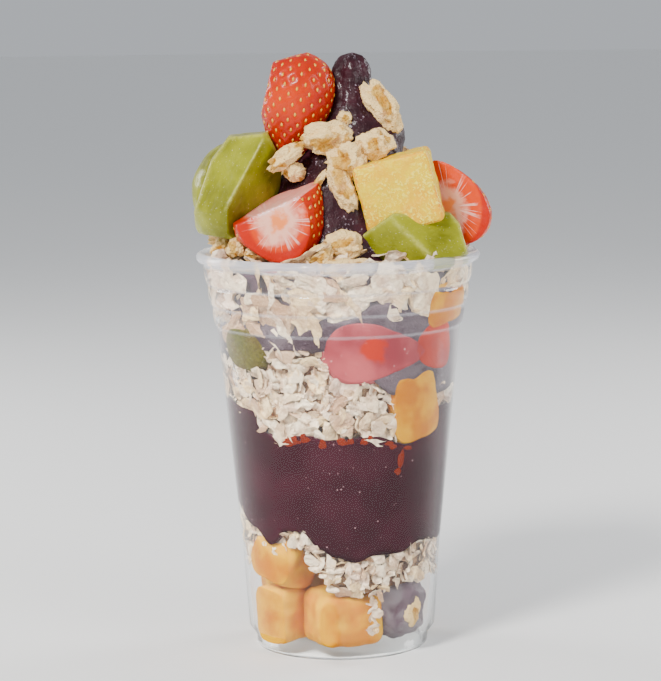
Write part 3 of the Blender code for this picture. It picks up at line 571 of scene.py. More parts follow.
def kiwi_finish(colours, name, middle, turn, half_sizes, shown):
    """Kiwi flesh: wet translucent olive, faint streaks out from the core, painted highlights along the knife edges and
    painted pale sparkles.
    """
    finish = Finish(name)
    local = finish.local(middle, turn, half_sizes)
    streaks = finish.spread(finish.noise(7.0, 3.0, finish.vector("NORMALIZE", local)), 0.35, 0.65)
    cloud = finish.spread(finish.noise(75, 2.0), 0.3, 0.7)
    tone = finish.mix(cloud, darker(colours.kiwi, 0.30 if shown else 0.60),
                      (0.27, 0.285, 0.006) if shown else (0.12, 0.075, 0.015))
    tone = finish.mix(finish.sum("MULTIPLY", streaks, 0.16), tone, (0.36, 0.37, 0.03))
    # Painted highlight: pale along the knife edges, where the ridges catch the light
    edge = finish.sum("MULTIPLY", finish.attribute("edge"), finish.spread(finish.noise(900, 2.0), 0.3, 0.6, 0.35, 1.0))
    tone = finish.mix(finish.sum("MULTIPLY", edge, 0.50), tone, (0.50, 0.49, 0.12))
    # Painted highlight: small pale sparkles
    painted_sparkle = finish.spread(finish.noise(1500, 2.0), 0.66, 0.74)
    tone = finish.mix(finish.sum("MULTIPLY", painted_sparkle, 0.35), tone, (0.85, 0.84, 0.60))
    relief = finish.sum("ADD", finish.noise(260, 3.0), finish.sum("MULTIPLY", streaks, 0.3))
    finish.shade({"Base Color": tone, "Roughness": 0.30, "Subsurface Weight": 0.35,
                  "Subsurface Radius": (0.9, 1.0, 0.2), "Subsurface Scale": 0.002,
                  "Specular IOR Level": 0.20 if shown else 0.0,
                  "Coat Weight": 0.09 if shown else 0.0, "Coat Roughness": 0.14, "Normal": finish.bump(relief, 0.00016)})
    return finish.material


def mango_finish(colours, name, frost, ripe):
    """Mango flesh: smooth yellow to orange, deeper at its edges, frosted with ice grains where it is in the open."""
    finish = Finish(name)
    patch = finish.spread(finish.noise(105, 2.0), 0.36, 0.64)
    yellow = colours.mango if frost > 0.5 else (0.74, 0.37, 0.0)
    tone = finish.mix(finish.sum("MULTIPLY", patch, ripe), yellow, darker(colours.mango_deep, 0.0 if frost > 0.5 else 0.32))
    edge = finish.sum("ADD", finish.attribute("edge"), finish.spread(finish.noise(160, 3.0), 0.3, 0.7, -0.4, 0.3))
    edge = finish.spread(edge, 0.1, 0.9, 0.0, 0.75)
    tone = finish.mix(edge, tone, colours.mango_deep)
    ice = finish.sum("MULTIPLY", finish.spread(finish.noise(1050, 3.0), 0.48, 0.60),
                     finish.spread(finish.noise(75, 2.0), 0.40, 0.56, 0.25, 1.0))
    tone = finish.mix(finish.sum("MULTIPLY", ice, frost), tone, (0.98, 0.82, 0.10))
    relief = finish.sum("ADD", finish.noise(330, 3.0), finish.sum("MULTIPLY", ice, frost))
    finish.shade({"Base Color": tone, "Roughness": 0.38, "Subsurface Weight": 0.30,
                  "Subsurface Radius": (1.0, 0.6, 0.1), "Subsurface Scale": 0.0025,
                  "Specular IOR Level": 0.12 if frost > 0.5 else 0.0,
                  "Coat Weight": 0.05 if frost > 0.5 else 0.0, "Coat Roughness": 0.15,
                  "Normal": finish.bump(relief, 0.00016)})
    return finish.material


def sauce_finish():
    """Thin red-orange juice that ran down the wall."""
    finish = Finish("juice")
    tone = finish.mix(finish.noise(500, 2.0), (0.13, 0.010, 0.004), (0.27, 0.032, 0.008))
    finish.shade({"Base Color": tone, "Roughness": 0.5, "Specular IOR Level": 0.0,
                  "Subsurface Weight": 0.2, "Subsurface Radius": (1.0, 0.3, 0.1), "Subsurface Scale": 0.001,
                  "Normal": finish.bump(finish.noise(900, 1.0), 0.00008)})
    return finish.material


def floor_finish(colours):
    finish = Finish("floor")
    tone = finish.mix(finish.noise(3, 2.0), colours.floor, lighter(colours.floor, 0.04))
    finish.shade({"Base Color": tone, "Roughness": 0.65})
    return finish.material


# ---------------------------------------------------------------- pieces

def finish_piece(name, bm, materials, nodes=(), smooth=True):
    """Make an object of a bmesh: smooth, facing out, riding on the cup and standing for CAD nodes."""
    bmesh.ops.recalc_face_normals(bm, faces=bm.faces[:])
    mesh = bpy.data.meshes.new(name)
    bm.to_mesh(mesh)
    bm.free()
    if smooth:
        mesh.shade_smooth()
    for material in materials:
        mesh.materials.append(material)
    piece = bpy.data.objects.new(name, mesh)
    bpy.context.scene.collection.objects.link(piece)
    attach(piece, "root")
    if nodes:
        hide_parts(*nodes)
    return piece


def evened(bm, grain, passes):
    """The same form in even faces, its knife edges a little rounded."""
    mesh = bpy.data.meshes.new("form")
    bm.to_mesh(mesh)
    bm.free()
    form = bpy.data.objects.new("form", mesh)
    bpy.context.scene.collection.objects.link(form)
    remesh = form.modifiers.new("Even", "REMESH")
    remesh.mode = "VOXEL"
    remesh.voxel_size = grain
    even = bpy.data.meshes.new_from_object(form.evaluated_get(bpy.context.evaluated_depsgraph_get()))
    bpy.data.objects.remove(form, do_unlink=True)
    bm = bmesh.new()
    bm.from_mesh(even)
    bpy.data.meshes.remove(mesh)
    bpy.data.meshes.remove(even)
    for _ in range(passes):
        bmesh.ops.smooth_vert(bm, verts=bm.verts, factor=0.5, use_axis_x=True, use_axis_y=True, use_axis_z=True)
    return bm


def wall_radius(height):
    """Radius of the cup's inner wall at a height, held level past its ends."""
    corners = [FOOT_TOP, WALL_KNEE, WALL_TOP] + [top for _, top in BEADS]
    corners = [(radius - WALL, level) for radius, level in corners]
    for (r0, z0), (r1, z1) in zip(corners, corners[1:]):
        if height <= z1:
            return r0 + (r1 - r0) * max(0.0, (height - z0) / (z1 - z0))
    return corners[-1][0]


def press(bm, contact):
    """Flatten against the cup's wall and floor whatever would pass through them."""
    for vert in bm.verts:
        if vert.co.z > RIM_HEIGHT + RIM_TUBE:
            continue
        reach = wall_radius(vert.co.z) + contact
        radius = vert.co.xy.length
        if radius > reach:
            vert.co.xy *= reach / radius
        vert.co.z = max(vert.co.z, FLOOR_TOP - contact)


def eased(points, position):
    """Height along a wavy edge, eased between its points and closed round the cup."""
    first = points[0][0]
    position = first + (position - first) % 360
    for (a0, z0), (a1, z1) in zip(points, points[1:] + [(first + 360, points[0][1])]):
        if position <= a1:
            return z0 + (z1 - z0) * (1 - cos(pi * (position - a0) / (a1 - a0))) / 2
    return points[-1][1]


def surface(edge, middle, lift=0.0):
    """The height of a layer's face by azimuth and share of the radius, from its edge and its middle."""
    return lambda azimuth, share: middle + (eased(edge, azimuth) - middle) * share ** 2 + lift


def on_wall(azimuth, share, height, reach):
    """A point at a share of the way from the cup's axis to its wall."""
    out = share * (wall_radius(height) + reach)
    return Vector((out * sin(radians(azimuth)), -out * cos(radians(azimuth)), height))


def make_spread(rings, place, sides=LAYER_SIDES):
    """A closed form: a ball whose rings, counted from its bottom, are laid out by place(ring, azimuth)."""
    bm = bmesh.new()
    bmesh.ops.create_uvsphere(bm, u_segments=sides, v_segments=rings, radius=1)
    for vert in bm.verts:
        ring = round(rings * acos(max(-1.0, min(1.0, -vert.co.z))) / pi)
        vert.co = place(ring, degrees(atan2(vert.co.x, -vert.co.y)))
    return bm


def make_layer(low, high, reach, caps=6, bands=24):
    """A layer that fills the cup from side to side between two wavy faces."""
    rings = 2 * caps + bands

    def place(ring, azimuth):
        if ring <= caps:
            return on_wall(azimuth, ring / caps, low(azimuth, ring / caps), reach)
        if ring >= rings - caps:
            share = (rings - ring) / caps
            return on_wall(azimuth, share, high(azimuth, share), reach)
        foot, top = low(azimuth, 1), high(azimuth, 1)
        return on_wall(azimuth, 1, foot + (top - foot) * (ring - caps) / bands, reach)

    return make_spread(rings, place)


def spline(values, position):
    """A smooth curve through evenly spaced tuples, at a place counted in steps from the first."""
    last = len(values) - 1
    start = min(int(position), last - 1)
    t = position - start
    a, b, c, d = (values[max(0, min(last, start + step))] for step in (-1, 0, 1, 2))
    return [(2 * q + (r - p) * t + (2 * p - 5 * q + 4 * r - s) * t * t + (3 * q - p - 3 * r + s) * t ** 3) / 2
            for p, q, r, s in zip(a, b, c, d)]


def on_mound(level, azimuth):
    """A point of the mound's side: waves round it, soft lobes and fine lumps."""
    height, radius, lean = spline(MOUND, level)
    turn = radians(azimuth)
    radius = max(0.0, radius)
    fade = min(1.0, radius / 0.004)
    radius += fade * MOUND_WAVE * sin(MOUND_WAVES * turn + level)
    point = Vector((radius * sin(turn), -radius * cos(turn), height))
    outwards = Vector((sin(turn), -cos(turn), 0.35)).normalized()
    lumps = (0.0010 * noise.noise(point * 70) + 0.00050 * noise.noise(point * 210)
             + 0.00030 * noise.noise(point * 620))
    return point + outwards * lumps * fade + Vector((lean, 0, 0))


def make_mound(contact):
    """The upper acai: spread to the wall over the middle flakes, then heaped to a leaning soft peak."""
    low, high = surface(MIDDLE_TOP, MIDDLE_TOP_MIDDLE), surface(UPPER_FOOT, UPPER_FOOT_MIDDLE)
    caps, bands = 6, 14
    rings = caps + bands + MOUND_RINGS

    def place(ring, azimuth):
        if ring <= caps:
            return on_wall(azimuth, ring / caps, low(azimuth, ring / caps), contact)
        if ring <= caps + bands:
            foot, top = low(azimuth, 1), high(azimuth, 1)
            return on_wall(azimuth, 1, foot + (top - foot) * (ring - caps) / bands, contact)
        return on_mound((len(MOUND) - 1) * ((ring - caps - bands) / MOUND_RINGS) ** 0.92, azimuth)

    return make_spread(rings, place)


def knife(bm, point, normal):
    """Slice off what lies beyond a plane and close the cut."""
    geometry = bm.verts[:] + bm.edges[:] + bm.faces[:]
    cut = bmesh.ops.bisect_plane(bm, geom=geometry, dist=0.000001, plane_co=point, plane_no=normal,
                                 clear_outer=True)
    edges = [item for item in cut["geom_cut"] if isinstance(item, bmesh.types.BMEdge)]
    bmesh.ops.holes_fill(bm, edges=edges, sides=0)


def pose_matrix(pose):
    """The turn of a fruit: towards a direction, or for a cube by an angle about Y and then one about Z."""
    if len(pose) == 3:
        return Vector(pose).to_track_quat("Z", "Y").to_matrix()
    return Matrix.Rotation(radians(pose[0]), 3, "Y") @ Matrix.Rotation(radians(pose[1]), 3, "Z")


def make_fruit(kind, recipe, grain, contact, waviness, edge=CUBE_EDGE, passes=3):
    """A chunk of fruit, cut by the knife, evened, pressed to the wall and marked where it is cut."""
    half_sizes, middle, pose, cuts = recipe
    turn, middle = pose_matrix(pose), Vector(middle)
    bm = bmesh.new()
    if kind == "cube":
        bmesh.ops.create_cube(bm, size=2)
    else:
        bmesh.ops.create_uvsphere(bm, u_segments=56, v_segments=36, radius=1)
    if kind == "berry":
        for vert in bm.verts:
            vert.co.xy *= 1 - BERRY_TAPER * vert.co.z
    bmesh.ops.scale(bm, vec=half_sizes, verts=bm.verts)
    bmesh.ops.transform(bm, matrix=Matrix.Translation(middle) @ turn.to_4x4(), verts=bm.verts)
    planes = [(middle + Vector(direction).normalized() * depth, Vector(direction).normalized(), shown)
              for direction, depth, shown in cuts]
    for point, normal, _ in planes:
        knife(bm, point, normal)
    if kind == "cube":
        bmesh.ops.bevel(bm, geom=bm.edges[:], offset=edge, offset_type="OFFSET", segments=3,
                        profile=0.5, affect="EDGES", material=-1)
        for axis in range(3):
            for side in (-1, 1):
                normal = turn.col[axis] * side
                planes.append((middle + normal * half_sizes[axis], normal, OPEN))
    bm = evened(bm, grain, passes)
    mark_cuts(bm, planes)
    bm.normal_update()
    for vert in bm.verts:
        vert.co += vert.normal * waviness * (noise.noise(vert.co * 120) + 0.5 * noise.noise(vert.co * 330))
    if contact is not None:
        press(bm, contact)
    return bm


def mark_cuts(bm, planes):
    """Note for each vertex whether it lies on laid-open flesh, whether it is on a knife edge and, with three cuts, how
    near it lies to the second cut, where a berry's upper facet gets a painted highlight.
    """
    cut, edge, pale = (bm.verts.layers.float.new(name) for name in ("cut", "edge", "pale"))
    for vert in bm.verts:
        gaps = sorted((((point - vert.co).dot(normal)), shown) for point, normal, shown in planes)
        opened = [gap for gap, shown in gaps if shown]
        vert[cut] = max(0.0, min(1.0, 1.6 - opened[0] / 0.0004)) if opened else 0.0
        vert[edge] = max(0.0, min(1.0, 1.4 - gaps[1][0] / 0.0009)) if len(gaps) > 1 else 0.0
        # pale: nearness to the second cut, used for a painted highlight on the upper facet
        if len(planes) > 2:
            point, normal, _ = planes[1]
            vert[pale] = max(0.0, min(1.0, 1.5 - (point - vert.co).dot(normal) / 0.0006))


def add_seeds(bm, recipe, sizes):
    """Set seeds in dimples, evenly spaced over the skin that is left."""
    half_sizes, middle, pose, _ = recipe
    turn, middle = pose_matrix(pose), Vector(middle)
    cut = bm.verts.layers.float["cut"]
    bm.normal_update()
    bm.verts.ensure_lookup_table()
    tree = KDTree(len(bm.verts))
    for vert in bm.verts:
        tree.insert(vert.co, vert.index)
    tree.balance()
    mean = sum(half_sizes) / 3
    count = int(4 * pi * mean ** 2 / sizes.seed_spacing ** 2)
    spots = []
    for number in range(count):
        z = 1 - 2 * (number + 0.5) / count
        angle = number * pi * (3 - sqrt(5))
        ring = sqrt(1 - z * z) * (1 - BERRY_TAPER * z)
        unit = Vector((ring * half_sizes[0] * cos(angle), ring * half_sizes[1] * sin(angle), z * half_sizes[2]))
        spot = middle + turn @ unit
        _, index, gap = tree.find(spot)
        vert = bm.verts[index]
        if gap < sizes.seed_length and vert[cut] < 0.05:
            spots.append((vert.co.copy(), vert.normal.copy()))
    seeds = KDTree(len(spots))
    for index, (spot, _) in enumerate(spots):
        seeds.insert(spot, index)
    seeds.balance()
    reach = sizes.seed_length * 0.62
    for vert in bm.verts:
        gap = seeds.find(vert.co)[2]
        if gap is not None and gap < 3 * reach:
            vert.co -= vert.normal * sizes.dimple * exp(-(gap / reach) ** 2) * (1 - vert[cut])
    axis = turn.col[2]
    for spot, normal in spots:
        along = (axis - normal * axis.dot(normal)).normalized()
        across = along.cross(normal)
        made = bmesh.ops.create_icosphere(bm, subdivisions=1, radius=1)["verts"]
        length = sizes.seed_length / 2
        bmesh.ops.scale(bm, vec=(length * 0.55, length, length * 0.42), verts=made)
        seat = Matrix((across, along, normal)).transposed().to_4x4()
        seat.translation = spot - normal * sizes.dimple * 0.75
        bmesh.ops.transform(bm, matrix=seat, verts=made)
        for face in {face for vert in made for face in vert.link_faces}:
            face.material_index = 1


def make_cereal(half_sizes, middle, turn_degrees, detail=5):
    """A crumpled lump: low swells, dents that open to the outside, ridges and a grainy coat."""
    bm = bmesh.new()
    bmesh.ops.create_icosphere(bm, subdivisions=detail, radius=1)
    hollow = bm.verts.layers.float.new("hollow")
    offset = Vector(middle) * 1000
    outside = Vector((middle[0], middle[1] * 1.6, 0.0)).normalized()
    rng = Random(round(offset.length * 1000))
    dents = [(outside + Vector([rng.uniform(-0.8, 0.8) for _ in range(3)])).normalized() for _ in range(3)]
    for vert in bm.verts:
        unit = vert.co.copy()
        swell = 0.30 * noise.noise(unit * 1.3 + offset)
        fold = 0.17 * (1 - abs(noise.noise(unit * 2.1 + offset)) * 3.2)
        crumb = 0.055 * noise.noise(unit * 5 + offset) + 0.022 * noise.noise(unit * 16 + offset)
        dent = sum(exp(-(unit - at).length_squared / 0.16) for at in dents)
        # hollow marks the dents, which the cereal finish darkens partly as painted shade
        vert[hollow] = max(0.0, min(1.0, dent))
        vert.co = unit * (0.98 + swell + fold + crumb - 0.34 * min(1.0, dent))
    bmesh.ops.scale(bm, vec=half_sizes, verts=bm.verts)
    turn = Matrix.Rotation(radians(turn_degrees), 4, "Y")
    bmesh.ops.transform(bm, matrix=Matrix.Translation(middle) @ turn, verts=bm.verts)
    return bm


def add_flake(bm, rng, length, thickness, settle):
    """One curled flake with a ragged outline, laid out by settle(across, along, out)."""
    tint = bm.verts.layers.float["tint"]
    made = bmesh.ops.create_icosphere(bm, subdivisions=3 if length > 0.011 else 2, radius=1)["verts"]
    offset = Vector([rng.uniform(0, 100) for _ in range(3)])
    width = length * rng.uniform(0.5, 0.95) / 2
    curl, twist = rng.uniform(-0.2, 0.6), rng.uniform(-0.5, 0.5)
    shade = rng.random()
    for vert in made:
        unit = vert.co.copy()
        flat = Vector((unit.x, unit.y, 0))
        ragged = 1 + 0.55 * noise.noise(flat * 1.4 + offset) + 0.30 * noise.noise(flat * 3.6 + offset)
        x, y = unit.x * ragged, unit.y * ragged
        lift = (curl * (x * x + 0.4 * y * y) * 0.45 + twist * x * y * 0.5 + 0.22 * noise.noise(flat * 1.9 + offset)
                + 0.07 * noise.noise(flat * 5 + offset))
        vert.co = settle(x * length / 2, y * width, unit.z * thickness / 2 + lift * length / 2)
        vert[tint] = shade


def wall_seat(rng, azimuth, level, contact):
    """How a flake at this place lies against the wall: slanted at random and flattened where it touches."""
    spin, tip, tilt = rng.uniform(0, 2 * pi), rng.gauss(0, 0.55), rng.gauss(0, 0.55)
    turn = Euler((tip, tilt, 0)).to_matrix() @ Matrix.Rotation(spin, 3, "Z")
    back = rng.uniform(-0.0002, 0.0028)

    def settle(x, y, z):
        across, up, out = turn @ Vector((x, y, z))
        height = max(FLOOR_TOP, level + up)
        radius = min(wall_radius(height) + contact, wall_radius(height) - back + out)
        angle = radians(azimuth) + across / wall_radius(level)
        return Vector((radius * sin(angle), -radius * cos(angle), height))

    return settle


def flakes_on_wall(bm, rng, low, high, length, thickness, contact, step):
    """Flakes pressed against the wall between two edges, in staggered rows, each at its own slant."""
    azimuth = -180.0
    while azimuth < 180:
        foot, top = low(azimuth, 1), high(azimuth, 1)
        rows = max(1, round((top - foot) / step))
        for row in range(rows):
            place = azimuth + rng.uniform(-2.5, 2.5)
            level = foot + (top - foot) * (row + rng.uniform(0.1, 0.9)) / rows
            size = length * rng.uniform(0.5, 1.3)
            add_flake(bm, rng, size, thickness, wall_seat(rng, place, level, contact))
        azimuth += degrees(step * 1.35 / wall_radius((foot + top) / 2))


def flakes_on_top(bm, rng, rings, length, thickness):
    """Flakes strewn on the heap inside the rim; rings gives (radius, height, count) from the rim inwards."""
    for radius, height, count in rings:
        for number in range(count):
            angle = 2 * pi * (number + rng.uniform(-0.4, 0.4)) / count
            at = Vector(((radius + rng.uniform(-0.002, 0.002)) * sin(angle),
                         -(radius + rng.uniform(-0.002, 0.002)) * cos(angle), height + rng.uniform(-0.0008, 0.0014)))
            tip = Euler((rng.gauss(0, 0.45), rng.gauss(0, 0.45), rng.uniform(0, 2 * pi))).to_matrix()

            def settle(x, y, z):
                point = at + tip @ Vector((x, y, z))
                reach = wall_radius(point.z)
                if point.xy.length > reach:
                    point.xy *= reach / point.xy.length
                return point

            add_flake(bm, rng, length * rng.uniform(0.6, 1.2), thickness, settle)


def add_drop(bm, azimuth, height, half_width, half_height, contact):
    """A small bead of juice flattened on the wall."""
    made = bmesh.ops.create_icosphere(bm, subdivisions=3, radius=1)["verts"]
    offset = Vector((azimuth, height * 1000, 0))
    for vert in made:
        unit = vert.co * (1 + 0.35 * noise.noise(vert.co * 1.5 + offset))
        level = height + unit.z * half_height
        angle = radians(azimuth) + unit.x * half_width / wall_radius(level)
        reach = min(wall_radius(level) + contact, wall_radius(level) - 0.0003 + unit.y * 0.0009)
        vert.co = Vector((reach * sin(angle), -reach * cos(angle), level))


# ---------------------------------------------------------------- operators

class AcaiCupPart(bpy.types.Operator):
    """Base of the operators, which read the scene's settings."""
    bl_options = {"REGISTER", "UNDO"}

    def execute(self, context):
        if context.scene.acai_sizes is None or context.scene.acai_colours is None:
            raise RuntimeError("register the add-on before running its operators")
        self.make(context.scene.acai_sizes, context.scene.acai_colours)
        return {"FINISHED"}


class ACAI_OT_cup(AcaiCupPart):
    """Spin the clear cup: hollow foot, thin wall, three stacking beads and a rolled rim"""
    bl_idname = "acai.cup"
    bl_label = "Clear cup"

    @staticmethod
    def bead(foot, top):
        """A bead's outside, from its upright top down and in to its foot, as a quarter of an ellipse."""
        points = []
        for step in range(BEAD_STEPS + 1):
            turn = pi / 2 * (1 - step / BEAD_STEPS)
            points.append((foot[0] + (top[0] - foot[0]) * sin(turn), foot[1] + (top[1] - foot[1]) * (1 - cos(turn))))
        return points

    def outline(self):
        inner = [(radius - WALL, height) for radius, height in [FOOT_TOP, WALL_KNEE, WALL_TOP] + [t for _, t in BEADS]]
        start, end = (radians(angle) for angle in RIM_ARC)
        rim = [(RIM_RADIUS + RIM_TUBE * cos(turn), RIM_HEIGHT + RIM_TUBE * sin(turn))
               for turn in (start + (end - start) * step / RIM_STEPS for step in range(RIM_STEPS + 1))]
        outside = []
        for foot, top in reversed(BEADS):
            points = self.bead(foot, top)
            outside += points[1:] if outside and points[0] == outside[-1] else points
        return ([(0, FLOOR_TOP)] + FOOT_INSIDE + inner + rim + outside + [WALL_KNEE, FOOT_TOP] + FOOT_OUTSIDE
                + [(0, FLOOR_UNDER)])

    def make(self, sizes, colours):
        bm = bmesh.new()
        verts = [bm.verts.new((radius, 0, height)) for radius, height in self.outline()]
        edges = [bm.edges.new(pair) for pair in zip(verts, verts[1:])]
        bmesh.ops.spin(bm, geom=verts + edges, cent=(0, 0, 0), axis=(0, 0, 1), angle=2 * pi, steps=CUP_STEPS,
                       use_merge=True)
        bmesh.ops.remove_doubles(bm, verts=bm.verts, dist=0.000002)
        bmesh.ops.dissolve_degenerate(bm, edges=bm.edges, dist=0.000002)
        finish_piece("clear_cup", bm, [plastic_finish()], ["cup"])


class ACAI_OT_acai(AcaiCupPart):
    """Lay the thick acai band, the smear at the foot and the heaped acai with its soft peak"""
    bl_idname = "acai.acai"
    bl_label = "Acai"

    def make(self, sizes, colours):
        pressed, wet_sheen = acai_finish(colours), peak_finish(colours)
        band = make_layer(surface(ACAI_FOOT, ACAI_FOOT_MIDDLE), surface(ACAI_TOP, ACAI_TOP_MIDDLE), sizes.contact)
        finish_piece("acai_band", band, [pressed], ["acai_main"])
        finish_piece("acai_heap", make_mound(sizes.contact), [wet_sheen], ["acai_upper"])
        bm = bmesh.new()
        bmesh.ops.create_icosphere(bm, subdivisions=5, radius=1)
        for vert in bm.verts:
            vert.co *= 1 + 0.22 * noise.noise(vert.co * 1.6 + Vector((3, 7, 1))) + 0.05 * noise.noise(vert.co * 6)
        bmesh.ops.scale(bm, vec=SMEAR[0], verts=bm.verts)
        bmesh.ops.translate(bm, vec=SMEAR[1], verts=bm.verts)
        press(bm, sizes.contact)
        finish_piece("acai_smear", bm, [smear_finish(colours, "acai_smear", 0.0)], ["acai_base"])


class ACAI_OT_flakes(AcaiCupPart):
    """Fill the three flake layers: a core behind the wall, painted dark brown as shade between the flakes (smeared with
    acai in the upper layer), and real flakes pressed against it and on top
    """
    bl_idname = "acai.flakes"
    bl_label = "Flake layers"

    def make(self, sizes, colours):
        flake, core = flake_finish(colours, "oat_flakes", 0.35), flake_finish(colours, "flake_core", 1.0)
        smeared = smear_finish(colours, "smeared_core", 0.22)
        layers = [
            ("lower", "flakes_lower", surface(LOWER_FOOT, LOWER_FOOT_MIDDLE), surface(ACAI_FOOT, ACAI_FOOT_MIDDLE),
             sizes.flake * 0.68, 0.0020, 1),
            ("middle", "flakes_middle", surface(ACAI_TOP, ACAI_TOP_MIDDLE), surface(MIDDLE_TOP, MIDDLE_TOP_MIDDLE),
             sizes.flake * 0.95, 0.0025, 2),
            ("upper", "flakes_upper", surface(UPPER_FOOT, UPPER_FOOT_MIDDLE), surface(UPPER_TOP, UPPER_TOP_MIDDLE),
             sizes.big_flake, 0.0050, 3),
        ]
        for name, node, low, high, length, step, seed in layers:
            inside = make_layer(low, high, -sizes.core_depth, bands=10)
            inside.verts.layers.float.new("tint")
            for vert in inside.verts:
                out = Vector((vert.co.x, vert.co.y, 0)).normalized()
                vert.co += out * (0.0011 * noise.noise(vert.co * 130) + 0.0004 * noise.noise(vert.co * 400))
                vert[inside.verts.layers.float["tint"]] = 0.3
            finish_piece(f"flake_core_{name}", inside, [smeared if name == "upper" else core])
            bm, rng = bmesh.new(), Random(seed)
            bm.verts.layers.float.new("tint")
            thickness = sizes.flake_thickness * (0.6 if name == "lower" else 1.0)
            flakes_on_wall(bm, rng, low, high, length, thickness, sizes.contact * 1.6, step)
            if name == "lower":
                for step in range(FALLEN_FLAKES):
                    level = FALLEN_TOP - (FALLEN_TOP - FALLEN_FOOT) * step / FALLEN_FLAKES
                    place = FALLEN_AZIMUTH + rng.uniform(-3, 3)
                    add_flake(bm, rng, length * 0.9, thickness, wall_seat(rng, place, level, sizes.contact * 3))
            if name == "upper":
                flakes_on_top(bm, rng, [(0.0410, 0.1345, 20), (0.0360, 0.1375, 16), (0.0300, 0.1390, 12)],
                              length, sizes.flake_thickness)
            finish_piece(f"flakes_{name}_loose", bm, [flake], [node], smooth=False)


class ACAI_OT_strawberries(AcaiCupPart):
    """Cut the strawberries on top and the ones pressed against the wall, and set their seeds"""
    bl_idname = "acai.strawberries"
    bl_label = "Strawberries"

    def make(self, sizes, colours):
        seed = seed_finish(colours)
        for recipes, grain, contact in ((BERRIES, sizes.fine_grain, 0.0), (WALL_BERRIES, sizes.coarse_grain, sizes.contact * 2)):
            for name, recipe in recipes.items():
                middle = recipe[1]
                bm = make_fruit("berry", recipe, grain, contact, 0.00025)
                if recipes is BERRIES:
                    add_seeds(bm, recipe, sizes)
                    press(bm, contact)
                if recipes is BERRIES or name.endswith("right"):
                    material = berry_finish(colours, name, recipe)
                else:
                    material = pressed_berry_finish(colours, name, Vector(middle) * 1.0)
                finish_piece(f"{name}_cut", bm, [material, seed], [name])


class ACAI_OT_kiwis(AcaiCupPart):
    """Cut the peeled kiwi chunks"""
    bl_idname = "acai.kiwis"
    bl_label = "Kiwi"

    def make(self, sizes, colours):
        for recipes, grain, contact in ((KIWIS, sizes.fine_grain, 0.0), (WALL_KIWIS, sizes.coarse_grain, sizes.contact * 2)):
            for name, recipe in recipes.items():
                half_sizes, middle, pose, _ = recipe
                bm = make_fruit("ball", recipe, grain, contact, 0.0003)
                material = kiwi_finish(colours, name, middle, pose_matrix(pose), half_sizes, recipes is KIWIS)
                finish_piece(f"{name}_cut", bm, [material], [name])


class ACAI_OT_mangoes(AcaiCupPart):
    """Cut the mango cubes on top, in the wall and at the foot"""
    bl_idname = "acai.mangoes"
    bl_label = "Mango"

    def make(self, sizes, colours):
        for recipes, contact in ((MANGOES, 0.0), (WALL_MANGOES, sizes.contact * 2)):
            for name, recipe in recipes.items():
                edge, passes = (CUBE_EDGE, 3) if recipes is MANGOES else (2.6 * CUBE_EDGE, 12)
                bm = make_fruit("cube", recipe, sizes.coarse_grain * 0.8, contact, 0.0006, edge, passes)
                frost, ripe = (0.8, 0.40) if recipes is MANGOES else (0.05, 0.95)
                finish_piece(f"{name}_cut", bm, [mango_finish(colours, name, frost, ripe)], [name])


class ACAI_OT_cereal(AcaiCupPart):
    """Crumple the pieces of coated cereal"""
    bl_idname = "acai.cereal"
    bl_label = "Coated cereal"

    def make(self, sizes, colours):
        material = cereal_finish(colours)
        for name, (half_sizes, middle, turn) in CEREAL.items():
            bm = make_cereal(half_sizes, middle, turn)
            press(bm, 0.0)
            finish_piece(f"{name}_piece", bm, [material], [name])


class ACAI_OT_bits(AcaiCupPart):
    """Run juice along the acai's upper edge and add the smallest bits of cereal"""
    bl_idname = "acai.bits"
    bl_label = "Juice and bits"

    def make(self, sizes, colours):
        bm, rng = bmesh.new(), Random(11)
        for _ in range(24):
            azimuth = rng.uniform(-34, 44)
            height = eased(ACAI_TOP, azimuth) + rng.uniform(-0.0022, 0.0004)
            add_drop(bm, azimuth, height, rng.uniform(0.0008, 0.0021), rng.uniform(0.0006, 0.0014), sizes.contact * 1.5)
        for azimuth, height, long in JUICE_RUNS:
            add_drop(bm, azimuth, height, 0.0016, long, sizes.contact * 1.5)
        finish_piece("juice", bm, [sauce_finish()])
        bm = bmesh.new()
        bm.verts.layers.float.new("hollow")
        for half_sizes, middle, turn in SMALL_CEREAL:
            crumb = make_cereal(half_sizes, middle, turn, 4)
            press(crumb, sizes.contact * 3)
            mesh = bpy.data.meshes.new("crumb")
            crumb.to_mesh(mesh)
            crumb.free()
            bm.from_mesh(mesh)
            bpy.data.meshes.remove(mesh)
        finish_piece("cereal_bits", bm, [cereal_finish(colours)])


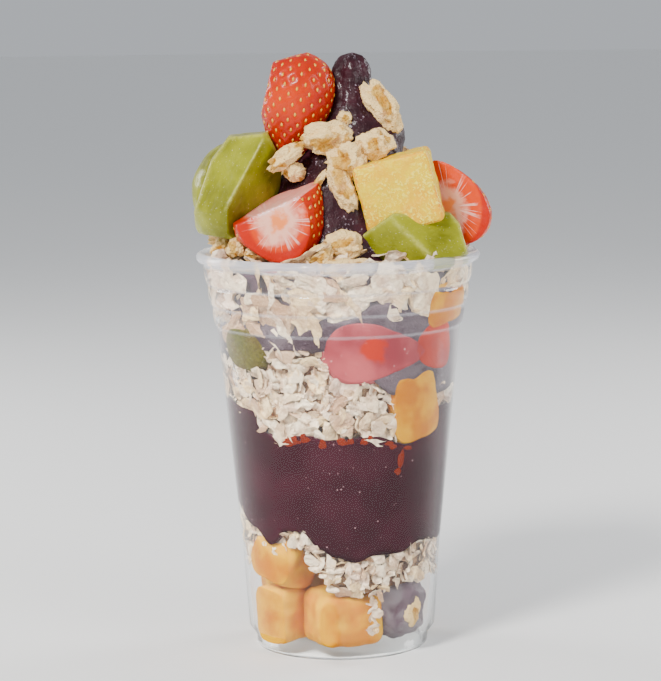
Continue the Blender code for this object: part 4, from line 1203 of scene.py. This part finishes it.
class ACAI_OT_stage(AcaiCupPart):
    """Set the pale floor, the soft lights and the camera"""
    bl_idname = "acai.stage"
    bl_label = "Stage"

    @staticmethod
    def light(name, place, aim, size, power, colour=(1, 1, 1)):
        data = bpy.data.lights.new(name, "AREA")
        data.shape, data.size, data.energy, data.color = "DISK", size, power, colour
        lamp = bpy.data.objects.new(name, data)
        lamp.location = place
        lamp.rotation_euler = (Vector(aim) - Vector(place)).to_track_quat("-Z", "Y").to_euler()
        bpy.context.scene.collection.objects.link(lamp)

    def make(self, sizes, colours):
        scene = bpy.context.scene
        bm = bmesh.new()
        bmesh.ops.create_circle(bm, cap_ends=True, segments=96, radius=9)
        mesh = bpy.data.meshes.new("floor")
        bm.to_mesh(mesh)
        bm.free()
        mesh.materials.append(floor_finish(colours))
        floor = bpy.data.objects.new("floor", mesh)
        scene.collection.objects.link(floor)
        world = bpy.data.worlds.new("studio")
        world.use_nodes = True
        world.node_tree.nodes["Background"].inputs["Color"].default_value = (0.90, 0.94, 1.0, 1.0)
        world.node_tree.nodes["Background"].inputs["Strength"].default_value = 0.55
        scene.world = world
        middle = (0, 0, 0.11)
        self.light("key", (-0.55, -0.85, 0.95), middle, 0.32, 24.0, (1.0, 0.97, 0.93))
        self.light("fill", (0.80, -0.70, 0.45), middle, 0.50, 4.5)
        self.light("edge_left", (-0.75, 0.45, 0.35), middle, 0.35, 5.0)
        self.light("edge_right", (0.75, 0.45, 0.40), middle, 0.35, 5.0)
        data = bpy.data.cameras.new("camera")
        data.lens = CAMERA_LENS
        data.clip_start, data.clip_end = 0.05, 60.0
        camera = bpy.data.objects.new("camera", data)
        turn = Matrix.Rotation(pi / 2 - CAMERA_DOWN, 4, "X") @ Matrix.Rotation(CAMERA_ROLL, 4, "Z")
        camera.matrix_world = Matrix.Translation(CAMERA_PLACE) @ turn
        scene.collection.objects.link(camera)
        scene.camera = camera


PARTS = (ACAI_OT_cup, ACAI_OT_acai, ACAI_OT_flakes, ACAI_OT_strawberries, ACAI_OT_kiwis, ACAI_OT_mangoes,
         ACAI_OT_cereal, ACAI_OT_bits, ACAI_OT_stage)


class ACAI_PT_panel(bpy.types.Panel):
    """The cup's pieces and settings in the sidebar"""
    bl_idname = "ACAI_PT_panel"
    bl_label = "Acai cup"
    bl_space_type = "VIEW_3D"
    bl_region_type = "UI"
    bl_category = "Acai cup"

    def draw(self, context):
        for part in PARTS:
            self.layout.operator(part.bl_idname)
        for group in (context.scene.acai_sizes, context.scene.acai_colours):
            box = self.layout.box()
            for name in group.__annotations__:
                box.prop(group, name)


CLASSES = (AcaiCupSizes, AcaiCupColours) + PARTS + (ACAI_PT_panel,)


def register():
    for part in CLASSES:
        bpy.utils.register_class(part)
    bpy.types.Scene.acai_sizes = PointerProperty(type=AcaiCupSizes)
    bpy.types.Scene.acai_colours = PointerProperty(type=AcaiCupColours)


def unregister():
    del bpy.types.Scene.acai_sizes, bpy.types.Scene.acai_colours
    for part in reversed(CLASSES):
        bpy.utils.unregister_class(part)


def main():
    register()
    for part in PARTS:
        group, name = part.bl_idname.split(".")
        getattr(getattr(bpy.ops, group), name)()


if __name__ == "__main__":
    main()
